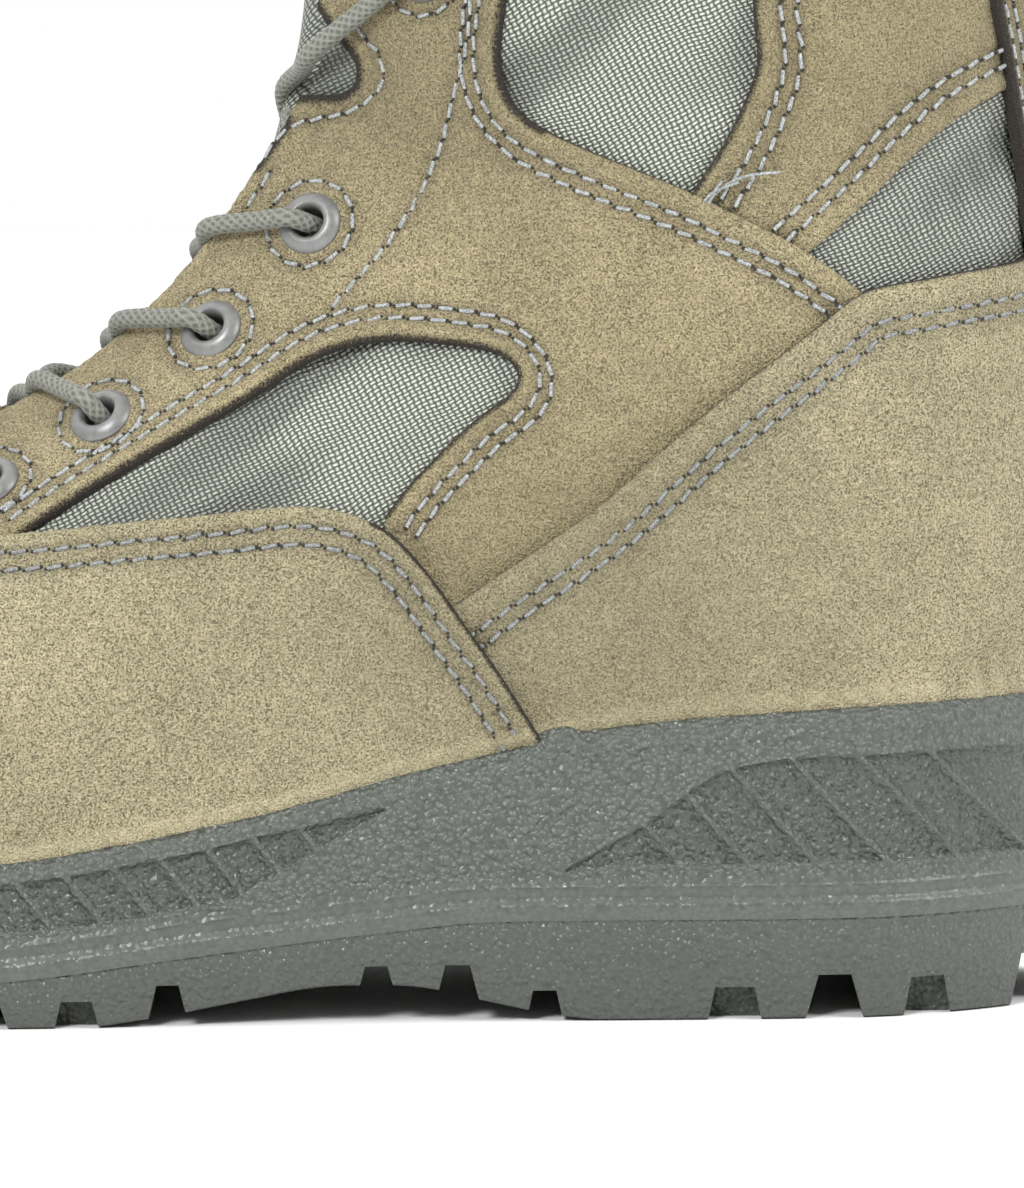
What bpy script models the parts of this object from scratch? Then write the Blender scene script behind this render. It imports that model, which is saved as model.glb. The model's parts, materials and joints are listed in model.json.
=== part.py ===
"""Left military boot with an eight-inch shaft: lasted upper, suede panels, moulded sole and laces.

Lengths are millimetres in the shoe's own coordinates: s runs forward from the back of the heel,
y to the lateral side, which is the wearer's left, and z up from the floor. placed() turns them
into metres round the centre of the boot's footprint, with +X to the toe and +Y to the left.
"""

import math

import bmesh
import bpy
import numpy as np

MM = 0.001
GAP = 0.3
CUP_GAP = 0.45

# Thicknesses of the sewn and moulded layers
WALL = 2.0
PANEL = 1.5
PROUD_PANEL = 2.3
TONGUE = 3.2
TONGUE_GAP = 0.5
INSOLE = 4.0

# How far the moulded sole stands out from the upper, measured in plan
RIM_REACH = 3.1
SHOULDER_REACH = 4.4
SIDE_REACH = 5.2
BAND_REACH = 6.2
TREAD_TOP_REACH = 5.3
TREAD_REACH = 4.6
BAND_HEIGHT = 3.2
BAND_CHAMFER = 0.6
SHOULDER_DROP = 2.5
RECESS_DEPTH = 0.9
CORE_INSET = 0.4
TREAD_BEVEL = 1.4
TREAD_TOP_DROP = 1.0
TREAD_TOP_INSET = 0.6

# Throat, eyelets and lace
THROAT_HALF_WIDTH = 12.0
THROAT_END_S = 204.0
EYELET_RADIUS = 5.5
EYELET_BORE = 3.1
EYELET_BARREL = 3.7
EYELET_SEAT = 0.8
EYELET_DOME = 1.1
LACE_RADIUS = 1.7
# The shaft's flat facets lie about this far inside its true curve, which the lace follows
SHAFT_FLATNESS = 1.0
# Height of a leg of the lace off the upper: in the middle of the throat, and more over its edges
LACE_SAG_LIFT = 0.4
LACE_EDGE_LIFT = 0.7
LACE_FACING_LIFT = 1.4
LACE_FACING_REACH = 8.0
LACE_CLEARANCE = 0.8

# The tongue reaches this far to the medial and lateral sides
TONGUE_MEDIAL = -30.0
TONGUE_LATERAL = 29.0
TONGUE_COLUMNS = 3
TONGUE_FIRST_ROW = 6.0

# Cutters reach past the boot: to both sides, under the floor and over the top
WIDE = 95.0
UNDER_FLOOR = -3.0
OVER_TOP = 320.0

# Resolution of the faceted solids
COLUMNS = 7
DENSE = 90
LACE_SIDES = 4
LACE_STEPS = 6
EYELET_SIDES = 6
THROAT_SIDES = 14
INSOLE_STEPS = 12

# Each section is a slice through the boot, from the toe to the top of the shaft. Its plane holds
# the width direction and the line from the front point, on the instep ridge, to the back point.
# Up to heel_back that point is on the feather edge, and above it on the back seam. Half widths
# are measured from the ridge; widest is their place along that line, and the powers set how
# square the section is in front of and behind it.
SECTION_COLUMNS = (
    "name", "front_s", "front_z", "back_s", "back_z", "lateral", "medial", "widest",
    "foot_lateral", "foot_medial", "front_power", "back_power", "ridge_y",
)
SECTIONS = (
    ("toe_front", 298.0, 43.0, 298.0, 27.3, 0.0, 0.0, 0.60, 0.0, 0.0, 2.3, 2.6, -9.0),
    ("toe_nose", 295.6, 52.0, 296.2, 27.0, 17.5, 16.5, 0.60, 15.5, 14.5, 2.3, 2.6, -9.0),
    ("toe_round", 289.5, 59.5, 291.0, 26.0, 29.5, 26.5, 0.61, 27.0, 24.0, 2.3, 2.6, -8.7),
    ("toe_cap", 279.0, 65.5, 281.0, 24.3, 39.5, 33.5, 0.62, 36.5, 31.0, 2.3, 2.6, -8.0),
    ("toe_box", 262.0, 70.5, 264.0, 21.5, 47.0, 38.8, 0.62, 43.5, 36.0, 2.3, 2.6, -6.8),
    ("vamp", 240.0, 75.5, 242.0, 18.6, 51.5, 43.2, 0.63, 47.5, 40.0, 2.2, 2.6, -5.0),
    ("ball", 216.0, 83.5, 215.0, 16.8, 53.5, 46.4, 0.63, 49.5, 42.5, 2.1, 2.6, -3.0),
    ("throat_base", 195.4, 94.0, 188.0, 17.3, 52.6, 45.0, 0.63, 48.5, 40.5, 2.0, 2.5, -1.8),
    ("low_instep", 176.7, 104.5, 158.0, 20.8, 49.2, 41.3, 0.63, 45.0, 36.0, 1.9, 2.4, -0.8),
    ("instep", 161.2, 117.1, 126.0, 27.3, 45.4, 38.8, 0.62, 41.0, 32.5, 1.8, 2.4, 0.0),
    ("waist", 150.2, 133.3, 95.0, 33.8, 42.2, 37.4, 0.62, 37.5, 32.5, 1.65, 2.4, 0.0),
    ("heel_breast", 143.5, 149.5, 62.0, 36.3, 40.2, 37.6, 0.61, 35.8, 34.0, 1.55, 2.4, 0.0),
    ("heel_seat", 138.4, 162.0, 30.0, 36.6, 38.8, 37.8, 0.58, 32.5, 32.0, 1.55, 2.4, 0.0),
    ("heel_round", 136.0, 171.0, 13.5, 36.6, 38.4, 38.0, 0.55, 20.5, 20.5, 1.6, 2.3, 0.0),
    ("heel_back", 134.4, 180.0, 7.2, 36.6, 38.2, 38.2, 0.53, 0.0, 0.0, 1.7, 2.3, 0.0),
    ("counter", 132.8, 192.0, 4.6, 72.0, 38.6, 38.6, 0.52, 0.0, 0.0, 1.9, 2.3, 0.0),
    ("ankle", 131.6, 203.0, 5.0, 108.0, 39.6, 39.6, 0.52, 0.0, 0.0, 2.0, 2.3, 0.0),
    ("tendon", 130.6, 214.0, 7.0, 148.0, 41.0, 41.0, 0.52, 0.0, 0.0, 2.1, 2.3, 0.0),
    ("shaft", 130.0, 227.0, 8.2, 186.0, 43.0, 43.0, 0.52, 0.0, 0.0, 2.2, 2.3, 0.0),
    ("collar", 129.6, 243.0, 7.4, 230.0, 45.5, 45.5, 0.52, 0.0, 0.0, 2.2, 2.3, 0.0),
    ("tongue_top", 129.6, 258.0, 6.6, 254.0, 46.5, 46.5, 0.52, 0.0, 0.0, 2.2, 2.3, 0.0),
)
HEEL_BACK_ROW = [row[0] for row in SECTIONS].index("heel_back")
COLLAR_ROW = [row[0] for row in SECTIONS].index("collar")

# Rows of the mesh, as places in the table: closer where the form turns quickly
MESH_ROWS = (
    0.0, 0.5, 1.2, 2.1, 3.1, 4.2, 5.2, 6.0, 6.8, 7.6, 8.4, 9.3, 10.2, 11.2, 12.2, 13.1, 14.0, 15.0,
    16.2, 17.4, 19.0, 20.0,
)

# Places round the sole's outline: sections up to the heel, then shares of the way to the back seam
OUTLINE_ROWS = (
    0.4, 1.0, 1.7, 2.4, 3.2, 4.0, 4.8, 5.5, 6.3, 7.2, 8.1, 9.0, 9.8, 10.6, 11.4, 12.0, 12.5, 13.0,
)
HEEL_SHARES = (0.1, 0.36, 0.6, 0.8, 0.95)

# Heights along the sole as (s, z): top of its rim, parting line, and underside before the tread
RIM = (
    (0, 53.0), (30, 52.4), (55, 51.2), (71, 50.0), (86, 48.2), (96, 45.8), (108, 43.2),
    (119, 40.6), (137, 35.6), (160, 30.8), (182, 27.3), (205, 25.6), (230, 26.0), (255, 28.4),
    (275, 31.6), (304, 36.5),
)
PARTING = (
    (0, 17.4), (30, 17.0), (100, 16.8), (120, 15.2), (149, 11.9), (182, 7.9), (210, 7.0),
    (240, 8.0), (270, 11.8), (304, 18.6),
)
UNDERSIDE = (
    (-2, 5.2), (6, 2.4), (14, 0.0), (82, 0.0), (93, 1.5), (101, 3.2), (110, 5.4), (117, 6.3),
    (126, 6.4), (133, 5.8), (141, 4.3), (152, 2.3), (160, 1.0), (168, 0.0), (250, 0.0),
    (262, 0.9), (280, 4.8), (304, 13.2),
)

# Grooves across the tread: back and front at the floor, and how much each side leans in
GROOVE_COLUMNS = ("back_s", "front_s", "lean", "depth")
GROOVES = (
    (5.0, 12.5, 1.6, 7.5),
    (38.5, 48.0, 2.0, 7.5),
    (89.0, 94.5, 0.8, 4.0),
    (102.0, 110.5, 2.2, 5.2),
    (115.5, 124.0, 2.4, 3.4),
    (151.0, 157.5, 1.4, 5.2),
    (180.5, 188.5, 1.6, 5.0),
    (210.0, 217.0, 1.6, 4.6),
    (236.0, 243.0, 1.6, 4.8),
    (261.0, 267.5, 1.5, 5.0),
    (282.0, 287.5, 1.2, 4.6),
)
# Pockets moulded into the outer faces of the lugs: back, front and height of the roof
LUG_POCKETS = ((23.5, 31.5, 6.6), (55.5, 64.5, 5.6), (165.5, 173.0, 4.6), (194.0, 203.0, 4.6))
POCKET_LEAN = 1.2
POCKET_REACH = 5.0
CHANNEL_HALF_WIDTH = 4.0
# Channels along the tread: back, front, depth and middle
CHANNELS = ((16.0, 78.0, 4.5, 0.0), (170.0, 258.0, 4.0, -2.0))
GROOVE_FLARE = 1.0
POCKET_FLARE = 0.4

# Outlines in side view, as (s, z); the same on both sides of the boot
VAMP_EDGE = (
    (92.6, 47.4), (99.2, 56.2), (104.2, 63.3), (109.2, 69.5), (114.2, 75.3),
    (119.2, 80.0), (123.3, 83.2), (128.0, 84.7), (132.5, 84.8), (149.2, 83.4), (165.8, 81.3),
    (182.5, 79.0), (198.0, 78.2), (206.0, 80.2), (211.0, 85.0), (214.0, 92.0),
)
COUNTER_EDGE = (
    (-6.0, 128.5), (11.8, 126.5), (22.5, 124.7), (32.5, 122.8), (39.2, 121.0), (44.2, 117.4),
    (55.8, 108.2), (69.2, 97.4), (82.5, 85.8), (95.8, 76.6), (108.2, 68.3),
)
ARM_EDGE = (
    (39.2, 121.6), (47.2, 128.8), (58.0, 133.6), (67.5, 138.0), (79.2, 142.8), (89.2, 146.7),
    (94.2, 149.2), (98.3, 154.2), (99.7, 160.0), (98.6, 170.0), (97.0, 190.0), (96.0, 216.5),
)
WINDOW = (
    (178.8, 80.5), (165.8, 88.3), (149.2, 98.8), (132.5, 109.6), (125.8, 112.0), (118.0, 112.8),
    (110.8, 112.4), (103.0, 111.4), (97.5, 109.4), (95.8, 106.6), (97.6, 103.6), (100.8, 101.2),
    (109.2, 94.0), (119.6, 82.6), (123.2, 85.6), (132.5, 86.4), (149.2, 84.6), (165.8, 82.4),
)
NOTCH = ((139.0, 149.6), (132.0, 150.6), (125.6, 152.8), (122.6, 156.4), (124.0, 161.0),
         (128.4, 166.4), (132.0, 171.0), (140.0, 172.0))
SHAFT_FRONT_EDGE = (
    (62.5, 145.0), (58.3, 153.3), (56.3, 160.0), (57.4, 170.0), (61.0, 190.0), (64.0, 212.8),
)
SHAFT_BACK_EDGE = (
    (18.2, 207.8), (17.9, 190.0), (17.1, 171.0), (14.6, 155.0), (24.2, 150.0), (32.5, 142.5),
    (39.2, 135.8),
)
BACKSTAY_EDGE = (
    (9.8, 127.2), (11.0, 137.0), (13.8, 154.0), (16.6, 171.0), (17.4, 190.0), (17.7, 207.6),
)
COLLAR_BAND_EDGE = ((-10.0, 204.4), (150.0, 222.7))
# Where outlines close off the boot: over the toe, over the instep, over the collar and behind
VAMP_CLOSING = ((230.0, 140.0), (325.0, 140.0))
QUARTER_CLOSING = ((240.0, 160.0), (240.0, 92.0))
BAND_CLOSING = ((160.0, 300.0), (-10.0, 300.0))
STAY_CLOSING = ((-10.0, 204.6), (-10.0, 129.2))
COUNTER_CLOSING = ((-10.0, 128.5),)
VAMP_RIM_SPAN = (325.0, 95.0, 15)
COUNTER_RIM_SPAN = (90.0, -10.0, 10)
# The vamp's edge meets the counter below this height and the quarter above it
VAMP_CORNER_Z = 69.2
# The throat in side view, above its round end
THROAT_BASE_Z = 70.0
THROAT_SIDE = ((150.0, 300.0), (70.0, 300.0), (70.0, 160.0))
THROAT_END_HEIGHT = 100.0
# Panels of the two sides meet here, inside the open throat
SIDES_MEET_Y = -2.5

# Recessed panels in the sole's side, each cut into pockets by slanting bars
FRONT_RECESS_TOP = (
    (232.0, 21.0), (215.0, 22.0), (200.0, 22.6), (182.5, 24.2), (168.7, 25.8), (159.8, 27.5),
    (150.7, 29.0), (141.5, 31.4), (132.0, 33.2), (117.7, 36.4),
)
FRONT_RECESS_BOTTOM = (
    (117.7, 36.0), (130.0, 29.0), (136.4, 25.2), (143.8, 20.9), (153.5, 19.2), (162.0, 17.7),
    (173.7, 16.3), (182.5, 15.9), (200.0, 15.6), (215.0, 16.0), (232.0, 19.6),
)
REAR_RECESS_TOP = (
    (3.0, 45.0), (12.0, 45.0), (33.0, 44.4), (52.5, 43.9), (59.5, 42.8), (63.2, 41.5),
    (67.6, 38.8), (74.8, 33.3), (82.0, 29.3), (89.5, 25.2),
)
REAR_RECESS_BOTTOM = ((89.5, 24.8), (80.0, 26.0), (60.0, 26.0), (33.0, 26.2), (3.0, 26.6))
# Bars: first one's place at the height where it starts, spacing, lean along s for one mm up, width
FRONT_BARS = {"start_s": 122.8, "spacing": 8.9, "count": 12, "lean": 0.78, "at_z": 20.0}
REAR_BARS = {"start_s": 12.8, "spacing": 11.3, "count": 6, "lean": 0.88, "at_z": 26.0}
BAR_WIDTH = 1.3

# Eyelets on each side as (s, z), from the lowest to the highest; the last is in the collar band
EYELETS = (
    (184.6, 88.0), (165.6, 98.9), (147.2, 113.6), (130.6, 131.6), (111.6, 174.8),
    (108.4, 198.4), (106.2, 221.6),
)

# Looks of the solids: colour, roughness, metallic
FINISHES = {
    "suede": ((0.40, 0.33, 0.20), 0.95, 0.0),
    "nylon": ((0.30, 0.31, 0.24), 0.70, 0.0),
    "sole_rubber": ((0.12, 0.13, 0.11), 0.60, 0.0),
    "midsole_foam": ((0.14, 0.15, 0.13), 0.55, 0.0),
    "lace_cord": ((0.27, 0.28, 0.22), 0.80, 0.0),
    "eyelet_metal": ((0.36, 0.35, 0.34), 0.40, 0.3),
    "insole_fabric": ((0.10, 0.10, 0.09), 0.90, 0.0),
}


def spline(knots, values, x):
    """Natural cubic through the knots: the second slope runs smoothly from row to row."""
    knots = np.asarray(knots, float)
    values = np.asarray(values, float)
    step = np.diff(knots)
    slope = np.diff(values) / step
    count = len(knots)
    system = np.eye(count)
    right = np.zeros(count)
    for i in range(1, count - 1):
        system[i, i - 1:i + 2] = (step[i - 1], 2 * (step[i - 1] + step[i]), step[i])
        right[i] = 6 * (slope[i] - slope[i - 1])
    bend = np.linalg.solve(system, right)
    x = np.asarray(x, float)
    i = np.clip(np.searchsorted(knots, x) - 1, 0, count - 2)
    a = knots[i + 1] - x
    b = x - knots[i]
    h = step[i]
    return (
        (bend[i] * a**3 + bend[i + 1] * b**3) / (6 * h)
        + (values[i] / h - bend[i] * h / 6) * a
        + (values[i + 1] / h - bend[i + 1] * h / 6) * b
    )


def monotone(table, x):
    """Cubic through a table of (place, height) that never swings past its own points."""
    knots, values = np.array(table, float).T
    step = np.diff(knots)
    slope = np.diff(values) / step
    tangent = np.concatenate([[slope[0]], (slope[:-1] + slope[1:]) / 2, [slope[-1]]])
    turns = slope[:-1] * slope[1:] <= 0
    tangent[1:-1][turns] = 0
    for i, run in enumerate(slope):
        limit = 3 * abs(run)
        tangent[i:i + 2] = np.clip(tangent[i:i + 2], -limit, limit)
    x = np.clip(np.asarray(x, float), knots[0], knots[-1])
    i = np.clip(np.searchsorted(knots, x) - 1, 0, len(knots) - 2)
    h = step[i]
    u = (x - knots[i]) / h
    return (
        values[i] * (1 + 2 * u) * (1 - u) ** 2
        + tangent[i] * h * u * (1 - u) ** 2
        + values[i + 1] * u * u * (3 - 2 * u)
        + tangent[i + 1] * h * u * u * (u - 1)
    )


def section_row(place):
    """The table's columns at a place between its rows.

    The feather edge and the back seam are two curves that meet at heel_back.
    """
    under = place < HEEL_BACK_ROW
    part = slice(0, HEEL_BACK_ROW + 1) if under else slice(HEEL_BACK_ROW, None)
    rows = np.arange(len(SECTIONS))
    row = {}
    for name, values in zip(SECTION_COLUMNS[1:], list(zip(*SECTIONS))[1:]):
        split = name.startswith(("back_s", "back_z", "foot"))
        used = part if split else slice(None)
        row[name] = float(spline(rows[used], values[used], place))
    return row


def half_section(row, side, count):
    """Points of one side of a section, evenly spaced from the ridge to the feather or back seam."""
    width = max(row["lateral" if side > 0 else "medial"], 1e-6)
    foot = row["foot_lateral" if side > 0 else "foot_medial"]
    front, back = 2 / row["front_power"], 2 / row["back_power"]
    turn = np.linspace(0, math.pi / 2, DENSE)
    deep = row["widest"] * (1 - np.cos(turn) ** front)
    wide = np.sin(turn) ** front
    tuck = 1 - min(max(foot / width, 0.0), 0.999) ** row["back_power"]
    turn = np.linspace(0, math.asin(math.sqrt(tuck)), DENSE)[1:]
    fall = np.sin(turn) ** back / tuck ** (back / 2)
    deep = np.concatenate([deep, row["widest"] + (1 - row["widest"]) * fall])
    wide = np.concatenate([wide, np.cos(turn) ** back])
    if foot == 0:
        wide[-1] = 0.0
    points = np.stack([
        row["front_s"] + (row["back_s"] - row["front_s"]) * deep,
        row["ridge_y"] + side * width * wide,
        row["front_z"] + (row["back_z"] - row["front_z"]) * deep,
    ], axis=1)
    along = np.concatenate([[0], np.cumsum(np.linalg.norm(np.diff(points, axis=0), axis=1))])
    even = np.linspace(0, along[-1], count)
    return np.stack([np.interp(even, along, points[:, axis]) for axis in range(3)], axis=1)


def upper_grid():
    """Rows of points across the boot: lateral edge, ridge, medial edge."""
    rows = []
    for place in MESH_ROWS:
        row = section_row(place)
        lateral = half_section(row, 1, COLUMNS + 1)
        medial = half_section(row, -1, COLUMNS + 1)
        rows.append(np.concatenate([lateral[::-1], medial[1:]]))
    return np.array(rows)


def grid_normals(grid):
    """Outward direction at each point of the upper's grid."""
    along = np.gradient(grid, axis=0)
    across = np.gradient(grid, axis=1)
    normal = np.cross(along, across)
    closed = np.array(MESH_ROWS) >= HEEL_BACK_ROW
    seam = normal[closed, 0] + normal[closed, -1]
    normal[closed, 0] = normal[closed, -1] = seam
    normal[0] = normal[0] + normal[0, ::-1]
    feather = np.array(MESH_ROWS) <= HEEL_BACK_ROW
    normal[feather, 0, 2] = normal[feather, -1, 2] = 0.0
    return normal / np.linalg.norm(normal, axis=2, keepdims=True)


GRID = upper_grid()
NORMALS = grid_normals(GRID)
HEEL_MESH_ROW = MESH_ROWS.index(float(HEEL_BACK_ROW))
COLLAR_MESH_ROW = MESH_ROWS.index(float(COLLAR_ROW))


def offset_grid(distance):
    return GRID + NORMALS * distance


def grid_surface(points, first, last, start=0):
    """Vertices and outward quads of rows first to last, with the toe and back seam sewn shut."""
    vertices, index = [], {}
    width = points.shape[1]
    for i in range(first, last + 1):
        for j in range(width):
            same = None
            if i == 0 and j > COLUMNS:
                same = index[(i, width - 1 - j)]
            elif i >= HEEL_MESH_ROW and j == width - 1:
                same = index[(i, 0)]
            if same is None:
                same = start + len(vertices)
                vertices.append(points[i, j])
            index[(i, j)] = same
    faces = []
    for i in range(first, last):
        for j in range(width - 1):
            a, b = index[(i, j)], index[(i, j + 1)]
            c, d = index[(i + 1, j + 1)], index[(i + 1, j)]
            faces += [(a, b, c), (a, c, d)] if j < COLUMNS else [(a, b, d), (b, c, d)]
    return vertices, faces, index


def strip(outer, inner):
    """Quads that join an edge of the outer surface to the same edge of the inner one."""
    return [
        (outer[k], outer[k + 1], inner[k + 1], inner[k]) for k in range(len(outer) - 1)
    ]


def feather_keys(width):
    """The grid places along the open bottom edge: lateral to the heel, back along the medial."""
    lateral = [(i, 0) for i in range(HEEL_MESH_ROW + 1)]
    medial = [(i, width - 1) for i in range(HEEL_MESH_ROW, -1, -1)]
    return lateral + medial


def shell(outer_distance, inner_distance, last=COLLAR_MESH_ROW):
    """A wall between two offsets of the upper's form, open below and at the top."""
    outer = offset_grid(outer_distance)
    inner = offset_grid(inner_distance)
    vertices, faces, first = grid_surface(outer, 0, last)
    more, back_faces, second = grid_surface(inner, 0, last, len(vertices))
    faces += [face[::-1] for face in back_faces]
    width = GRID.shape[1]
    for keys in (feather_keys(width), [(last, j) for j in range(width)]):
        faces += strip([first[key] for key in keys], [second[key] for key in keys])
    return vertices + more, faces


def last_form(distance, drop):
    """The closed form inside a wall at this distance, with its sole lowered by drop."""
    points = offset_grid(distance)
    for i in range(HEEL_MESH_ROW + 1):
        for j in (0, -1):
            points[i, j, 2] -= drop
    vertices, faces, index = grid_surface(points, 0, COLLAR_MESH_ROW)
    width = GRID.shape[1]
    for i in range(HEEL_MESH_ROW):
        faces.append(
            (index[(i, 0)], index[(i + 1, 0)], index[(i + 1, width - 1)], index[(i, width - 1)])
        )
    top = [index[(COLLAR_MESH_ROW, j)] for j in range(width - 1)]
    faces.append(tuple(top))
    return vertices, faces


def rim_outline():
    """Where the upper's side crosses the sole's rim, as a loop from the toe round by the heel."""
    low, high = float(HEEL_BACK_ROW), float(HEEL_BACK_ROW + 1)
    for _ in range(30):
        heel = (low + high) / 2
        row = section_row(heel)
        if row["back_z"] < monotone(RIM, row["back_s"]):
            low = heel
        else:
            high = heel
    around = [HEEL_BACK_ROW + (heel - HEEL_BACK_ROW) * share for share in HEEL_SHARES]
    sides = []
    for side in (1, -1):
        line = []
        for place in list(OUTLINE_ROWS) + around:
            run = half_section(section_row(place), side, 4 * DENSE)
            above = run[:, 2] - monotone(RIM, run[:, 0])
            k = int(np.nonzero(above > 0)[0][-1])
            share = above[k] / (above[k] - above[k + 1])
            line.append(run[k] + (run[k + 1] - run[k]) * share)
        sides.append(line)
    toe = (SECTIONS[0][1], SECTIONS[0][-1])
    back = (row["back_s"], row["ridge_y"])
    loop = [toe] + [tuple(p[:2]) for p in sides[0]] + [back]
    loop += [tuple(p[:2]) for p in sides[1][::-1]]
    return np.array(loop)


def plan_normals(loop):
    """Outward plan direction at each point of a closed loop."""
    ahead = np.roll(loop, -1, axis=0) - loop
    behind = loop - np.roll(loop, 1, axis=0)
    ahead /= np.linalg.norm(ahead, axis=1, keepdims=True)
    behind /= np.linalg.norm(behind, axis=1, keepdims=True)
    tangent = ahead + behind
    normal = np.stack([tangent[:, 1], -tangent[:, 0]], axis=1)
    normal /= np.linalg.norm(normal, axis=1, keepdims=True)
    inward = (normal * (loop - loop.mean(axis=0))).sum() < 0
    return -normal if inward else normal


OUTLINE = rim_outline()
OUTLINE_NORMALS = plan_normals(OUTLINE)
FOOTPRINT = OUTLINE + OUTLINE_NORMALS * BAND_REACH
CENTRE_S, CENTRE_Y = (FOOTPRINT.min(axis=0) + FOOTPRINT.max(axis=0)) / 2


def placed(point):
    """Metres in the part's frame."""
    return ((point[0] - CENTRE_S) * MM, (point[1] - CENTRE_Y) * MM, point[2] * MM)


def finish_material(name):
    material = bpy.data.materials.get(name)
    if material is None:
        material = bpy.data.materials.new(name)
        material.use_nodes = True
        shader = material.node_tree.nodes["Principled BSDF"]
        colour, roughness, metallic = FINISHES[name]
        shader.inputs["Base Color"].default_value = (*colour, 1.0)
        shader.inputs["Roughness"].default_value = roughness
        shader.inputs["Metallic"].default_value = metallic
    return material


def solid(name, vertices, faces, finish=None):
    """An object from millimetre vertices, with outward faces."""
    mesh = bpy.data.meshes.new(name)
    rings = [list(dict.fromkeys(face)) for face in faces]
    rings = [ring for ring in rings if len(ring) > 2]
    mesh.from_pydata([placed(vertex) for vertex in vertices], [], rings)
    work = bmesh.new()
    work.from_mesh(mesh)
    bmesh.ops.remove_doubles(work, verts=work.verts, dist=1e-7)
    bmesh.ops.dissolve_degenerate(work, edges=work.edges, dist=1e-7)
    bmesh.ops.triangulate(work, faces=[f for f in work.faces if len(f.verts) > 3])
    bmesh.ops.recalc_face_normals(work, faces=work.faces)
    work.to_mesh(mesh)
    work.free()
    item = bpy.data.objects.new(name, mesh)
    bpy.context.scene.collection.objects.link(item)
    if finish:
        mesh.materials.append(finish_material(finish))
    return item


def carve(item, cutter, operation="DIFFERENCE", keep=False):
    """Cut, join or intersect an object with another, which is then removed."""
    step = item.modifiers.new(operation, "BOOLEAN")
    step.operation = operation
    step.solver = "EXACT"
    step.object = cutter
    graph = bpy.context.evaluated_depsgraph_get()
    mesh = bpy.data.meshes.new_from_object(item.evaluated_get(graph))
    item.modifiers.clear()
    finish = item.data.materials[0] if item.data.materials else None
    item.data = mesh
    mesh.materials.clear()
    if finish:
        mesh.materials.append(finish)
    if not keep:
        bpy.data.objects.remove(cutter)
    return item


def clean(item):
    """Merge the points a cut leaves on top of each other and drop flat slivers."""
    work = bmesh.new()
    work.from_mesh(item.data)
    bmesh.ops.remove_doubles(work, verts=work.verts, dist=2e-6)
    bmesh.ops.dissolve_degenerate(work, edges=work.edges, dist=2e-6)
    bmesh.ops.dissolve_limit(
        work, angle_limit=math.radians(0.4), verts=work.verts, edges=work.edges
    )
    bmesh.ops.triangulate(work, faces=work.faces)
    work.to_mesh(item.data)
    work.free()
    return item


def prism(outlines, near, far):
    """Closed prisms along y from outlines in side view; each outline is a list of (s, z)."""
    vertices, faces = [], []
    for outline in outlines:
        base, count = len(vertices), len(outline)
        vertices += [(s, near, z) for s, z in outline] + [(s, far, z) for s, z in outline]
        faces.append(tuple(range(base, base + count)))
        faces.append(tuple(range(base + 2 * count - 1, base + count - 1, -1)))
        for k in range(count):
            after = (k + 1) % count
            faces.append((base + k, base + count + k, base + count + after, base + after))
    return solid("cutter", vertices, faces)


def loop_block(name, levels, finish):
    """A solid from rings round the outline: each level is (reach, heights along the loop)."""
    count = len(OUTLINE)
    vertices, faces = [], []
    for reach, heights in levels:
        ring = OUTLINE + OUTLINE_NORMALS * reach
        vertices += [(s, y, z) for (s, y), z in zip(ring, heights)]
    for level in range(len(levels) - 1):
        for k in range(count):
            after = (k + 1) % count
            a, b = level * count, (level + 1) * count
            faces.append((a + k, a + after, b + after, b + k))
    half = count // 2
    for base in (0, (len(levels) - 1) * count):
        faces.append((base, base + 1, base + count - 1))
        for k in range(1, half - 1):
            faces.append((base + k, base + k + 1, base + count - k - 1, base + count - k))
        faces.append((base + half - 1, base + half, base + half + 1))
    return solid(name, vertices, faces, finish)


def bar_pockets(top, bottom, bars):
    """The outlines left between slanting bars across a recessed panel."""
    tops = np.array(sorted(top))
    bottoms = np.array(sorted(bottom))
    first, last = tops[0, 0], tops[-1, 0]
    lean, at_z = bars["lean"], bars["at_z"]
    middles = [bars["start_s"] + k * bars["spacing"] for k in range(bars["count"])]
    edges = [first - 40] + middles + [last + 40]
    pockets = []
    for k in range(len(edges) - 1):
        low = edges[k] + BAR_WIDTH / 2
        high = edges[k + 1] - BAR_WIDTH / 2
        inside = []
        for s in np.arange(first, last + 0.01, 0.25):
            roof = np.interp(s, tops[:, 0], tops[:, 1])
            base = np.interp(s, bottoms[:, 0], bottoms[:, 1])
            reach_low = at_z + (s - high) / lean
            reach_high = at_z + (s - low) / lean
            z0, z1 = max(base, reach_low), min(roof, reach_high)
            if z1 - z0 > 0.15:
                inside.append((s, z0, z1))
        if len(inside) < 6:
            continue
        lower = simplify([(s, z0) for s, z0, z1 in inside])
        upper = simplify([(s, z1) for s, z0, z1 in inside])
        pockets.append(lower + upper[::-1])
    return pockets


def simplify(line, tolerance=0.4):
    """The fewest points of a line that stay within the tolerance of it."""
    if len(line) < 3:
        return line
    (s0, z0), (s1, z1) = line[0], line[-1]
    length = math.hypot(s1 - s0, z1 - z0)
    away = [abs((s1 - s0) * (z - z0) - (z1 - z0) * (s - s0)) / length for s, z in line]
    k = int(np.argmax(away))
    if away[k] < tolerance:
        return [line[0], line[-1]]
    return simplify(line[:k + 1], tolerance)[:-1] + simplify(line[k:], tolerance)


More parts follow.
